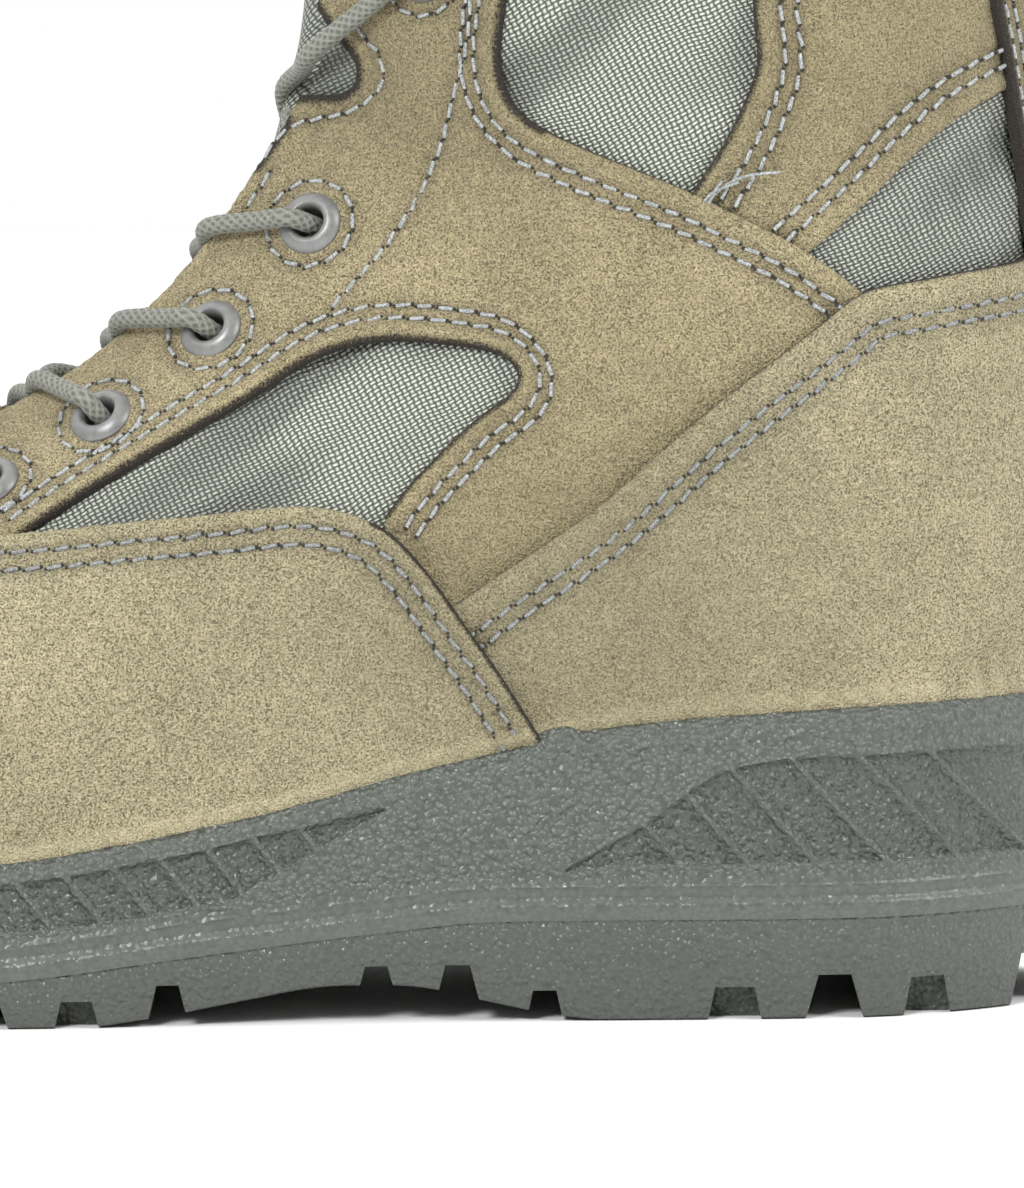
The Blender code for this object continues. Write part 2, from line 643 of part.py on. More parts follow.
def make_midsole():
    """Moulded cup: side with recessed, barred panels and a rim that holds the upper."""
    loop_s = OUTLINE[:, 0]
    parting = monotone(PARTING, loop_s) + GAP / 2
    rim = monotone(RIM, loop_s)
    shoulder = rim - SHOULDER_DROP
    band_top = parting + BAND_HEIGHT

    def levels(inset):
        return [
            (BAND_REACH - inset, parting), (BAND_REACH - inset, band_top),
            (SIDE_REACH - inset, band_top + BAND_CHAMFER),
            (SHOULDER_REACH - inset, shoulder), (RIM_REACH - inset, rim),
        ]

    block = loop_block("midsole", levels(0.0), "midsole_foam")
    pockets = bar_pockets(FRONT_RECESS_TOP, FRONT_RECESS_BOTTOM, FRONT_BARS)
    pockets += bar_pockets(REAR_RECESS_TOP, REAR_RECESS_BOTTOM, REAR_BARS)
    carve(block, prism(pockets, -WIDE, WIDE))
    core_levels = levels(RECESS_DEPTH)
    core_levels[0] = (core_levels[0][0], parting + CORE_INSET)
    core_levels[-1] = (core_levels[-1][0], rim - CORE_INSET)
    carve(block, loop_block("core", core_levels, None), "UNION")
    vertices, faces = last_form(CUP_GAP, CUP_GAP)
    carve(block, solid("last", vertices, faces))
    return clean(block)


def groove_outline(groove):
    """A groove across the tread, wider at the floor than at its roof."""
    row = dict(zip(GROOVE_COLUMNS, groove))
    middle = (row["back_s"] + row["front_s"]) / 2
    roof = float(monotone(UNDERSIDE, middle)) + row["depth"]
    return [
        (row["back_s"] - GROOVE_FLARE, UNDER_FLOOR), (row["front_s"] + GROOVE_FLARE, UNDER_FLOOR),
        (row["front_s"] - row["lean"], roof), (row["back_s"] + row["lean"], roof),
    ]


def side_reach(s, side):
    """Half width of the tread at s, on one side."""
    ring = OUTLINE + OUTLINE_NORMALS * TREAD_REACH
    toe_s, toe_y = SECTIONS[0][1], SECTIONS[0][-1]
    mine = ring[(ring[:, 1] - np.interp(ring[:, 0], [0, toe_s], [0, toe_y])) * side >= 0]
    mine = mine[np.argsort(mine[:, 0])]
    return float(np.interp(s, mine[:, 0], mine[:, 1]))


def make_outsole():
    """Rubber tread: heel block, raised arch, lugs with side pockets and the toe spring."""
    loop_s = OUTLINE[:, 0]
    top = monotone(PARTING, loop_s) - GAP / 2
    under = monotone(UNDERSIDE, loop_s)
    levels = [
        (TREAD_REACH - TREAD_BEVEL, under), (TREAD_REACH, under + TREAD_BEVEL),
        (TREAD_TOP_REACH, top - TREAD_TOP_DROP), (TREAD_TOP_REACH - TREAD_TOP_INSET, top),
    ]
    block = loop_block("outsole", levels, "sole_rubber")
    cuts = [groove_outline(groove) for groove in GROOVES]
    carve(block, prism(cuts, -WIDE, WIDE))
    for back, front, depth, middle in CHANNELS:
        outline = [(back, UNDER_FLOOR), (front, UNDER_FLOOR), (front, depth), (back, depth)]
        carve(block, prism([outline], middle - CHANNEL_HALF_WIDTH, middle + CHANNEL_HALF_WIDTH))
    for back, front, roof in LUG_POCKETS:
        outline = [
            (back - POCKET_FLARE, UNDER_FLOOR), (front + POCKET_FLARE, UNDER_FLOOR),
            (front - POCKET_LEAN, roof), (back + POCKET_LEAN, roof),
        ]
        for side in (1, -1):
            edge = side_reach((back + front) / 2, side)
            carve(block, prism([outline], edge - side * POCKET_REACH, side * WIDE))
    return clean(block)


def make_upper():
    vertices, faces = shell(0.0, -WALL)
    upper = solid("upper", vertices, faces, "nylon")
    cut_throat(upper)
    for side in (1, -1):
        for place in EYELETS:
            carve(upper, eyelet_bore(place, side))
    return clean(upper)


def cut_throat(item):
    """Open the instep: a slot from the collar down to a round end above the vamp."""
    half = THROAT_HALF_WIDTH
    end = THROAT_END_S - half
    roof = THROAT_BASE_Z + THROAT_END_HEIGHT
    carve(item, prism([[(end, THROAT_BASE_Z), (end, roof), *THROAT_SIDE]], -half, half))
    base = np.array([end, 0.0, THROAT_BASE_Z])
    upright = np.array([0.0, 0.0, 1.0])
    return carve(item, rod(base, upright, half, 0.0, THROAT_END_HEIGHT, THROAT_SIDES))


def surface_point(place, side, distance=0.0):
    """Point and outward normal of the upper at (s, z) on one side."""
    points, normals = GRID, NORMALS
    if side < 0:
        points, normals = GRID[:, ::-1], NORMALS[:, ::-1]
    points = points[:, :COLUMNS + 1]
    normals = normals[:, :COLUMNS + 1]
    target = np.array(place, float)
    for i in range(points.shape[0] - 1):
        for j in range(points.shape[1] - 1):
            quad = [points[i, j], points[i, j + 1], points[i + 1, j + 1], points[i + 1, j]]
            lean = [normals[i, j], normals[i, j + 1], normals[i + 1, j + 1], normals[i + 1, j]]
            for a, b, c in ((0, 1, 2), (0, 2, 3)):
                flat = np.array([
                    [quad[a][0], quad[b][0], quad[c][0]],
                    [quad[a][2], quad[b][2], quad[c][2]],
                    [1.0, 1.0, 1.0],
                ])
                if abs(np.linalg.det(flat)) < 1e-9:
                    continue
                share = np.linalg.solve(flat, np.array([target[0], target[1], 1.0]))
                if (share > -1e-6).all():
                    corners = np.array([quad[a], quad[b], quad[c]])
                    leans = np.array([lean[a], lean[b], lean[c]])
                    normal = share @ leans
                    normal /= np.linalg.norm(normal)
                    return share @ corners + normal * distance, normal
    raise ValueError(f"no surface at {place}")


def turned(centre, axis, profile, sides):
    """A ring turned round an axis, from a closed profile of (radius, height)."""
    axis = axis / np.linalg.norm(axis)
    first = np.cross(axis, (1.0, 0.0, 0.0))
    first /= np.linalg.norm(first)
    second = np.cross(axis, first)
    vertices, faces = [], []
    count = len(profile)
    for k in range(sides):
        turn = 2 * math.pi * k / sides
        out = first * math.cos(turn) + second * math.sin(turn)
        vertices += [centre + out * radius + axis * height for radius, height in profile]
    for k in range(sides):
        after = (k + 1) % sides
        for m in range(count):
            n = (m + 1) % count
            faces.append((k * count + m, k * count + n, after * count + n, after * count + m))
    return vertices, faces


def rod(centre, axis, radius, low, high, sides):
    vertices, faces = turned(centre, axis, [(radius, low), (radius, high)], sides)
    walls = [face for k, face in enumerate(faces) if k % 2 == 0]
    floor = tuple(2 * k for k in range(sides))
    roof = tuple(2 * k + 1 for k in range(sides))[::-1]
    return solid("cutter", vertices, walls + [floor, roof])


def eyelet_bore(place, side):
    centre, axis = surface_point(place, side)
    return rod(centre, axis, EYELET_BARREL + GAP, -WALL - 3, PANEL + 4, EYELET_SIDES)


def make_eyelet(name, place, side):
    """Metal ring: domed flange on the facing and a barrel through it."""
    centre, axis = surface_point(place, side)
    seat = PANEL + GAP + EYELET_SEAT
    profile = [
        (EYELET_BORE, -WALL + 0.2), (EYELET_BARREL, -WALL + 0.2), (EYELET_BARREL, seat),
        (EYELET_RADIUS, seat), (EYELET_BORE, seat + EYELET_DOME),
    ]
    vertices, faces = turned(centre, axis, profile, EYELET_SIDES)
    return solid(name, vertices, faces, "eyelet_metal")


def grown(outline, distance):
    """A closed outline moved out by a distance, or in by a negative one."""
    points = np.array(outline, float)
    ahead = np.roll(points, -1, axis=0) - points
    ahead /= np.linalg.norm(ahead, axis=1, keepdims=True)
    behind = np.roll(ahead, 1, axis=0)
    area = np.cross(points, np.roll(points, -1, axis=0)).sum()
    turn = 1.0 if area > 0 else -1.0
    side_a = np.stack([ahead[:, 1], -ahead[:, 0]], axis=1)
    side_b = np.stack([behind[:, 1], -behind[:, 0]], axis=1)
    middle = side_a + side_b
    reach = np.maximum(1 + (side_a * side_b).sum(axis=1), 0.4)
    return [tuple(p) for p in points + turn * distance * middle / reach[:, None]]


def above_rim(first, last, steps):
    """Points just over the sole's rim, from one place along the boot to another."""
    places = np.linspace(first, last, steps)
    return [(float(s), float(monotone(RIM, s)) + GAP) for s in places]


def panel(name, outlines, thickness, near, far, holes=(), slot=False, bores=()):
    """A piece of leather on the upper: the space between two offsets inside a side outline."""
    vertices, faces = shell(GAP + thickness, GAP)
    piece = solid(name, vertices, faces, "suede")
    carve(piece, prism([grown(outline, -GAP / 2) for outline in outlines], near, far), "INTERSECT")
    if holes:
        carve(piece, prism(list(holes), near - GAP, far + GAP))
    if slot:
        cut_throat(piece)
    for place, side in bores:
        carve(piece, eyelet_bore(place, side))
    return clean(piece)


def make_panels():
    vamp = [*VAMP_EDGE, *VAMP_CLOSING, *above_rim(*VAMP_RIM_SPAN)]
    panel("vamp_panel", [vamp], PROUD_PANEL, -WIDE, WIDE)
    vamp_low = [point for point in VAMP_EDGE if point[1] < VAMP_CORNER_Z]
    vamp_high = [point for point in VAMP_EDGE if point[1] > VAMP_CORNER_Z]
    counter = [*COUNTER_EDGE, *vamp_low[::-1], *above_rim(*COUNTER_RIM_SPAN), *COUNTER_CLOSING]
    panel("heel_counter", [counter], PROUD_PANEL, -WIDE, WIDE)
    quarter = [
        *COUNTER_EDGE[:3:-1], *ARM_EDGE, COLLAR_BAND_EDGE[1], *QUARTER_CLOSING, *vamp_high[::-1],
    ]
    shaft = [*ARM_EDGE[1:4], *SHAFT_FRONT_EDGE, *SHAFT_BACK_EDGE]
    for side, word in ((1, "lateral"), (-1, "medial")):
        near, far = sorted((SIDES_MEET_Y + side * GAP / 2, side * WIDE))
        bores = [(place, side) for place in EYELETS[:-1]]
        panel(
            f"quarter_{word}", [quarter], PANEL, near, far,
            holes=(WINDOW, NOTCH), slot=True, bores=bores,
        )
        panel(f"shaft_panel_{word}", [shaft], PANEL, near, far)
    panel("backstay", [[*BACKSTAY_EDGE, *STAY_CLOSING]], PANEL, -WIDE, WIDE)
    band = [*COLLAR_BAND_EDGE, *BAND_CLOSING]
    bores = [(EYELETS[-1], side) for side in (1, -1)]
    panel("collar_band", [band], PANEL, -WIDE, WIDE, slot=True, bores=bores)


def make_insole():
    """Footbed: a slab of even thickness cut to the inside of the upper."""
    line = [(row[3], row[4]) for row in SECTIONS[HEEL_BACK_ROW::-1]]
    places = np.linspace(0.0, SECTIONS[0][1] + 2.0, INSOLE_STEPS)
    floor = [(float(s), float(monotone(line, s)) + 2 * GAP) for s in places]
    roof = [(s, z + INSOLE) for s, z in floor[::-1]]
    slab = prism([floor + roof], -WIDE, WIDE)
    slab.name = "insole"
    slab.data.materials.append(finish_material("insole_fabric"))
    vertices, faces = last_form(-WALL - 5 * GAP, 0.0)
    return clean(carve(slab, solid("last", vertices, faces), "INTERSECT"))


def make_tongue():
    """Padded tongue under the facings, from below the throat to above the collar."""
    first = MESH_ROWS.index(TONGUE_FIRST_ROW)
    last = len(MESH_ROWS) - 1
    span = range(COLUMNS - TONGUE_COLUMNS, COLUMNS + TONGUE_COLUMNS + 1)
    outer = offset_grid(-WALL - TONGUE_GAP)
    inner = offset_grid(-WALL - TONGUE_GAP - TONGUE)
    vertices, faces, index = [], [], {}
    for layer, points in enumerate((outer, inner)):
        for i in range(first, last + 1):
            for j in span:
                index[(layer, i, j)] = len(vertices)
                vertices.append(points[i, j])
    for layer in (0, 1):
        for i in range(first, last):
            for j in span[:-1]:
                ring = ((i, j), (i, j + 1), (i + 1, j + 1), (i + 1, j))
                a, b, c, d = (index[(layer, row, column)] for row, column in ring)
                halves = [(a, b, c), (a, c, d)] if j < COLUMNS else [(a, b, d), (b, c, d)]
                faces += halves if layer == 0 else [half[::-1] for half in halves]
    edge = [(first, j) for j in span]
    edge += [(i, span[-1]) for i in range(first + 1, last + 1)]
    edge += [(last, j) for j in span[-2::-1]]
    edge += [(i, span[0]) for i in range(last - 1, first, -1)]
    for k, key in enumerate(edge):
        after = edge[(k + 1) % len(edge)]
        faces.append((index[(0, *after)], index[(0, *key)], index[(1, *key)], index[(1, *after)]))
    tongue = solid("tongue", vertices, faces, "nylon")
    sides = [(0.0, 0.0), (OVER_TOP, 0.0), (OVER_TOP, OVER_TOP), (0.0, OVER_TOP)]
    return clean(carve(tongue, prism([sides], TONGUE_MEDIAL, TONGUE_LATERAL), "INTERSECT"))


def row_place(place):
    """The place in the table of the section that passes through (s, z) on the instep."""
    def turn_from(at):
        row = section_row(at)
        ahead = (row["back_s"] - row["front_s"], row["back_z"] - row["front_z"])
        to_place = (place[0] - row["front_s"], place[1] - row["front_z"])
        return ahead[0] * to_place[1] - ahead[1] * to_place[0]

    low, high = 4.0, float(COLLAR_ROW) + 0.5
    sign = turn_from(low) > 0
    for _ in range(40):
        middle = (low + high) / 2
        if (turn_from(middle) > 0) == sign:
            low = middle
        else:
            high = middle
    return (low + high) / 2


def instep_point(at, y, lift):
    """A point over the instep: section place, distance from the ridge, height off the upper."""
    side = 1 if y >= 0 else -1

    def on_surface(place, reach):
        line = half_section(section_row(place), side, 80)
        away = np.abs(line[:, 1] - line[0, 1])
        top = int(np.argmax(away))
        return np.array([np.interp(reach, away[:top], line[:top, axis]) for axis in range(3)])

    reach = abs(y)
    spot = on_surface(at, reach)
    along = on_surface(at + 0.05, reach) - on_surface(at - 0.05, reach)
    across = on_surface(at, reach + 0.5) - on_surface(at, max(reach - 0.5, 0.0))
    normal = np.cross(along, across) * side
    if abs(y) < 0.5:
        normal[1] = 0.0
    normal /= np.linalg.norm(normal)
    row = section_row(at)
    middle = np.array([
        (row["front_s"] + row["back_s"]) / 2, row["ridge_y"], (row["front_z"] + row["back_z"]) / 2
    ])
    if normal @ (spot - middle) < 0:
        normal = -normal
    return spot + normal * lift


def lace_leg(start, finish, over_other=0.0):
    """Centre line over the instep between two (section place, y) ends."""
    lines = []
    high = GAP + PANEL + LACE_RADIUS
    for share in np.linspace(0, 1, LACE_STEPS + 1):
        at = start[0] + (finish[0] - start[0]) * share
        y = start[1] + (finish[1] - start[1]) * share
        near = min(abs(y) / THROAT_HALF_WIDTH, 1.0)
        over = max(abs(y) - THROAT_HALF_WIDTH, 0.0) / LACE_FACING_REACH
        lift = LACE_SAG_LIFT + (high + LACE_EDGE_LIFT) * near**1.3
        lift += min(over, 1.0) * LACE_FACING_LIFT
        lift += over_other * (1 - near)
        lift -= SHAFT_FLATNESS * min(max((at - HEEL_BACK_ROW) / 2, 0.0), 1.0)
        lines.append(instep_point(at, y, lift))
    return np.array(lines)


def tube(name, line, radius, sides, finish=None):
    """A round cord along a line, with flat ends."""
    tangent = np.gradient(line, axis=0)
    tangent /= np.linalg.norm(tangent, axis=1, keepdims=True)
    vertices, faces = [], []
    up = np.array([0.3, 0.0, 1.0])
    for point, ahead in zip(line, tangent):
        first = np.cross(ahead, up)
        first /= np.linalg.norm(first)
        second = np.cross(first, ahead)
        for k in range(sides):
            turn = 2 * math.pi * k / sides
            vertices.append(point + radius * (first * math.cos(turn) + second * math.sin(turn)))
    for i in range(len(line) - 1):
        for k in range(sides):
            after = (k + 1) % sides
            a, b = i * sides, (i + 1) * sides
            faces.append((a + k, a + after, b + after, b + k))
    faces.append(tuple(range(sides))[::-1])
    faces.append(tuple(range((len(line) - 1) * sides, len(line) * sides)))
    return solid(name, vertices, faces, finish)


def make_laces():
    """A bar across the lowest eyelets and a crossing between each pair above."""
    ends = []
    for place in EYELETS:
        at = row_place(place)
        near, far = section_row(at - 0.1), section_row(at + 0.1)
        pace = math.hypot(far["front_s"] - near["front_s"], far["front_z"] - near["front_z"]) / 0.2
        y = abs(surface_point(place, 1)[0][1] - section_row(at)["ridge_y"])
        ends.append((at, (LACE_RADIUS + LACE_CLEARANCE) / pace, y))
    at, aside, y = ends[0]
    tube("lace_bar", lace_leg((at - aside, y), (at - aside, -y)), LACE_RADIUS, LACE_SIDES, "lace_cord")
    for k in range(len(ends) - 1):
        low, high = ends[k], ends[k + 1]
        start, finish = low[0] + low[1], high[0] - high[1]
        name = f"lace_cross_{k + 1}"
        first = lace_leg((start, low[2]), (finish, -high[2]))
        second = lace_leg((start, -low[2]), (finish, high[2]), LACE_RADIUS * 0.6)
        cross = tube(name, first, LACE_RADIUS, LACE_SIDES, "lace_cord")
        clean(carve(cross, tube("other", second, LACE_RADIUS, LACE_SIDES), "UNION"))


def main():
    for item in list(bpy.data.objects):
        bpy.data.objects.remove(item)
    make_outsole()
    make_midsole()
    make_insole()
    make_upper()
    make_tongue()
    make_panels()
    for side, word in ((1, "lateral"), (-1, "medial")):
        for k, place in enumerate(EYELETS):
            make_eyelet(f"eyelet_{word}_{k + 1}", place, side)
    make_laces()


main()
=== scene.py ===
"""Looks of the left military boot: suede over woven nylon, stitching, moulded sole and lace.

Lengths are millimetres in the boot's own coordinates, as in the part's source: s runs forward
from the back of the heel, y to the lateral side and z up. metres() turns them into the frame's.
Panel edges are read off the photograph as pixels and carried to the upper's surface under them.
"""

import json
import math

import bmesh
import bpy
import numpy as np
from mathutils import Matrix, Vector, noise
from mathutils.geometry import delaunay_2d_cdt
from mathutils.kdtree import KDTree

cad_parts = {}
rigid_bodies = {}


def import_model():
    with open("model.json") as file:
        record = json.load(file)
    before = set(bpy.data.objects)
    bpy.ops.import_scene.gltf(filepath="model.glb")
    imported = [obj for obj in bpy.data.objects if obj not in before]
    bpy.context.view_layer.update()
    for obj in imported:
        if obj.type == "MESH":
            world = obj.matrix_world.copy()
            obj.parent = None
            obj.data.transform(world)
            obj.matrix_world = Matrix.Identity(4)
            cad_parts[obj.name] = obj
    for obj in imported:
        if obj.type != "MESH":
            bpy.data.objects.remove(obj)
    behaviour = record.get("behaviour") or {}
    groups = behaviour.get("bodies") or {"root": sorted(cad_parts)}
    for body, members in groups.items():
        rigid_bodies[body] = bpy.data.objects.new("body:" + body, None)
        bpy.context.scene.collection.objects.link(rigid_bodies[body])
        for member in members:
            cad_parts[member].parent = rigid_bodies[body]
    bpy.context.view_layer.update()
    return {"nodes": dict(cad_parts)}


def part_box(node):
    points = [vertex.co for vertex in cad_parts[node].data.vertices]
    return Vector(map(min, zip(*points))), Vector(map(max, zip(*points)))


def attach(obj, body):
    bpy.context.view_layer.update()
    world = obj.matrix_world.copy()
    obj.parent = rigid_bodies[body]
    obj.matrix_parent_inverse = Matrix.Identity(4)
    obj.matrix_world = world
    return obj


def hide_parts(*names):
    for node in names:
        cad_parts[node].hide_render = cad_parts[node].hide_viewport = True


for item in list(bpy.data.objects):
    bpy.data.objects.remove(item)
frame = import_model()

MM = 0.001

# The photograph's camera: pixels for one millimetre at the target, which is on the lateral side
PHOTO_WIDTH, PHOTO_HEIGHT = 1024, 1188
PIXELS_PER_MM = 6.0
CAMERA_TARGET = np.array([97.2, 38.0, 71.0])
CAMERA_DISTANCE = 1100.0
CAMERA_TILT = math.radians(5.0)

# The upper's sections, repeated from the part's source
SECTION_COLUMNS = (
    "front_s", "front_z", "back_s", "back_z", "lateral", "medial", "widest",
    "foot_lateral", "foot_medial", "front_power", "back_power", "ridge_y",
)
SECTIONS = (
    (298.0, 43.0, 298.0, 27.3, 0.0, 0.0, 0.60, 0.0, 0.0, 2.3, 2.6, -9.0),
    (295.6, 52.0, 296.2, 27.0, 17.5, 16.5, 0.60, 15.5, 14.5, 2.3, 2.6, -9.0),
    (289.5, 59.5, 291.0, 26.0, 29.5, 26.5, 0.61, 27.0, 24.0, 2.3, 2.6, -8.7),
    (279.0, 65.5, 281.0, 24.3, 39.5, 33.5, 0.62, 36.5, 31.0, 2.3, 2.6, -8.0),
    (262.0, 70.5, 264.0, 21.5, 47.0, 38.8, 0.62, 43.5, 36.0, 2.3, 2.6, -6.8),
    (240.0, 75.5, 242.0, 18.6, 51.5, 43.2, 0.63, 47.5, 40.0, 2.2, 2.6, -5.0),
    (216.0, 83.5, 215.0, 16.8, 53.5, 46.4, 0.63, 49.5, 42.5, 2.1, 2.6, -3.0),
    (195.4, 94.0, 188.0, 17.3, 52.6, 45.0, 0.63, 48.5, 40.5, 2.0, 2.5, -1.8),
    (176.7, 104.5, 158.0, 20.8, 49.2, 41.3, 0.63, 45.0, 36.0, 1.9, 2.4, -0.8),
    (161.2, 117.1, 126.0, 27.3, 45.4, 38.8, 0.62, 41.0, 32.5, 1.8, 2.4, 0.0),
    (150.2, 133.3, 95.0, 33.8, 42.2, 37.4, 0.62, 37.5, 32.5, 1.65, 2.4, 0.0),
    (143.5, 149.5, 62.0, 36.3, 40.2, 37.6, 0.61, 35.8, 34.0, 1.55, 2.4, 0.0),
    (138.4, 162.0, 30.0, 36.6, 38.8, 37.8, 0.58, 32.5, 32.0, 1.55, 2.4, 0.0),
    (136.0, 171.0, 13.5, 36.6, 38.4, 38.0, 0.55, 20.5, 20.5, 1.6, 2.3, 0.0),
    (134.4, 180.0, 7.2, 36.6, 38.2, 38.2, 0.53, 0.0, 0.0, 1.7, 2.3, 0.0),
    (132.8, 192.0, 4.6, 72.0, 38.6, 38.6, 0.52, 0.0, 0.0, 1.9, 2.3, 0.0),
    (131.6, 203.0, 5.0, 108.0, 39.6, 39.6, 0.52, 0.0, 0.0, 2.0, 2.3, 0.0),
    (130.6, 214.0, 7.0, 148.0, 41.0, 41.0, 0.52, 0.0, 0.0, 2.1, 2.3, 0.0),
    (130.0, 227.0, 8.2, 186.0, 43.0, 43.0, 0.52, 0.0, 0.0, 2.2, 2.3, 0.0),
    (129.6, 243.0, 7.4, 230.0, 45.5, 45.5, 0.52, 0.0, 0.0, 2.2, 2.3, 0.0),
    (129.6, 258.0, 6.6, 254.0, 46.5, 46.5, 0.52, 0.0, 0.0, 2.2, 2.3, 0.0),
)
INSTEP_ROW = 9
HEEL_BACK_ROW = 14
COLLAR_ROW = 19
TOE_S = SECTIONS[0][0]

# Fineness of the surface that every piece of the upper is laid on
ROWS_PER_SECTION = 20
ROW_STEP = 1 / ROWS_PER_SECTION
ROWS = np.arange(0.0, len(SECTIONS) - 1 + ROW_STEP / 2, ROW_STEP)
SHARES = np.linspace(0.0, 1.0, 161)
DENSE = 90
# Rounds of the search for a place on it, for the point under a pixel, and points that are evened out
HALVINGS, SIGHT_STEPS, EVEN_WINDOW = 30, 8, 9

# Heights of the layers over the upper's form
WALL = 2.0
HEIGHTS = {
    "shaft_panel": 1.5, "quarter": 1.9, "backstay": 2.2, "collar_band": 2.4,
    "heel_counter": 2.6, "vamp_panel": 2.9,
}

# The frame's origin in the boot's coordinates, from nodes whose place along the boot is known
toe_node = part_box("upper")
band_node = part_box("collar_band")
CENTRE_S = TOE_S - toe_node[1][0] / MM
CENTRE_Y = -(band_node[0][1] + band_node[1][1]) / 2 / MM


def metres(points):
    """Points of the boot's coordinates in the frame's."""
    points = np.asarray(points, float)
    return (points - (CENTRE_S, CENTRE_Y, 0.0)) * MM


def spline(knots, values, x):
    """Natural cubic through the knots."""
    knots = np.asarray(knots, float)
    values = np.asarray(values, float)
    step = np.diff(knots)
    slope = np.diff(values) / step
    count = len(knots)
    system = np.eye(count)
    right = np.zeros(count)
    for i in range(1, count - 1):
        system[i, i - 1:i + 2] = (step[i - 1], 2 * (step[i - 1] + step[i]), step[i])
        right[i] = 6 * (slope[i] - slope[i - 1])
    bend = np.linalg.solve(system, right)
    x = np.asarray(x, float)
    i = np.clip(np.searchsorted(knots, x) - 1, 0, count - 2)
    a, b, h = knots[i + 1] - x, x - knots[i], step[i]
    return (
        (bend[i] * a**3 + bend[i + 1] * b**3) / (6 * h)
        + (values[i] / h - bend[i] * h / 6) * a
        + (values[i + 1] / h - bend[i + 1] * h / 6) * b
    )


def lengths(line):
    """Distance along a line at each of its points."""
    steps = np.linalg.norm(np.diff(np.asarray(line, float), axis=0), axis=1)
    return np.concatenate([[0.0], np.cumsum(steps)])


def even_steps(length, step):
    """Even distances from nothing to a length, about a step apart."""
    return np.linspace(0, length, max(int(round(length / step)), 1) + 1)


def read_table(x, knots, table):
    """The rows of a table of numbers, read between its knots."""
    return np.stack([np.interp(x, knots, column) for column in np.asarray(table, float).T], axis=1)


def curve(points, step):
    """A smooth line through a few points, with a point every step."""
    points = np.asarray(points, float)
    along = lengths(points)
    even = even_steps(along[-1], step)
    return np.stack([spline(along, column, even) for column in points.T], axis=1)


def resample(line, step):
    """The same line with evenly spaced points."""
    along = lengths(line)
    return read_table(even_steps(along[-1], step), along, line)


def closed(loop):
    """A loop with its first point again at the end."""
    return np.vstack([loop, loop[:1]])


def straight(start, stop, steps):
    """Places on a straight line between two places."""
    return np.stack([np.linspace(a, b, steps) for a, b in zip(start, stop)], axis=1)


def unit(vectors):
    """The vectors with a length of one."""
    return vectors / np.linalg.norm(vectors, axis=-1, keepdims=True)


def circle(middle, first, second, radius, turn):
    """Points round a middle, in the plane of two directions."""
    ring = np.cos(turn)[:, None] * first + np.sin(turn)[:, None] * second
    return middle + ring * radius


def bell(distance, width):
    """A smooth rise that is one at no distance and fades over the width."""
    return np.exp(-((distance / width) ** 2))


def smoothstep(x):
    x = np.clip(x, 0.0, 1.0)
    return x * x * (3 - 2 * x)


def section_table():
    """Every column of the section table at every fine row."""
    knots = np.arange(len(SECTIONS))
    under = ROWS < HEEL_BACK_ROW
    table = {}
    for name, values in zip(SECTION_COLUMNS, zip(*SECTIONS)):
        values = np.array(values)
        if name.startswith(("back_s", "back_z", "foot")):
            low = spline(knots[:HEEL_BACK_ROW + 1], values[:HEEL_BACK_ROW + 1], ROWS)
            high = spline(knots[HEEL_BACK_ROW:], values[HEEL_BACK_ROW:], ROWS)
            table[name] = np.where(under, low, high)
        else:
            table[name] = spline(knots, values, ROWS)
    return table


TABLE = section_table()


def half_section(k, side):
    """Points of one side of a fine row, evenly spaced from the ridge to the feather or back seam."""
    row = {name: values[k] for name, values in TABLE.items()}
    width = max(row["lateral" if side > 0 else "medial"], 1e-6)
    foot = row["foot_lateral" if side > 0 else "foot_medial"]
    front, back = 2 / row["front_power"], 2 / row["back_power"]
    turn = np.linspace(0, math.pi / 2, DENSE)
    deep = row["widest"] * (1 - np.cos(turn) ** front)
    wide = np.sin(turn) ** front
    tuck = 1 - min(max(foot / width, 0.0), 0.999) ** row["back_power"]
    turn = np.linspace(0, math.asin(math.sqrt(tuck)), DENSE)[1:]
    fall = np.sin(turn) ** back / tuck ** (back / 2)
    deep = np.concatenate([deep, row["widest"] + (1 - row["widest"]) * fall])
    wide = np.concatenate([wide, np.cos(turn) ** back])
    if foot <= 0:
        wide[-1] = 0.0
    points = np.stack([
        row["front_s"] + (row["back_s"] - row["front_s"]) * deep,
        row["ridge_y"] + side * width * wide,
        row["front_z"] + (row["back_z"] - row["front_z"]) * deep,
    ], axis=1)
    along = lengths(points)
    even = SHARES * along[-1]
    return read_table(even, along, points), np.interp(even, along, deep)


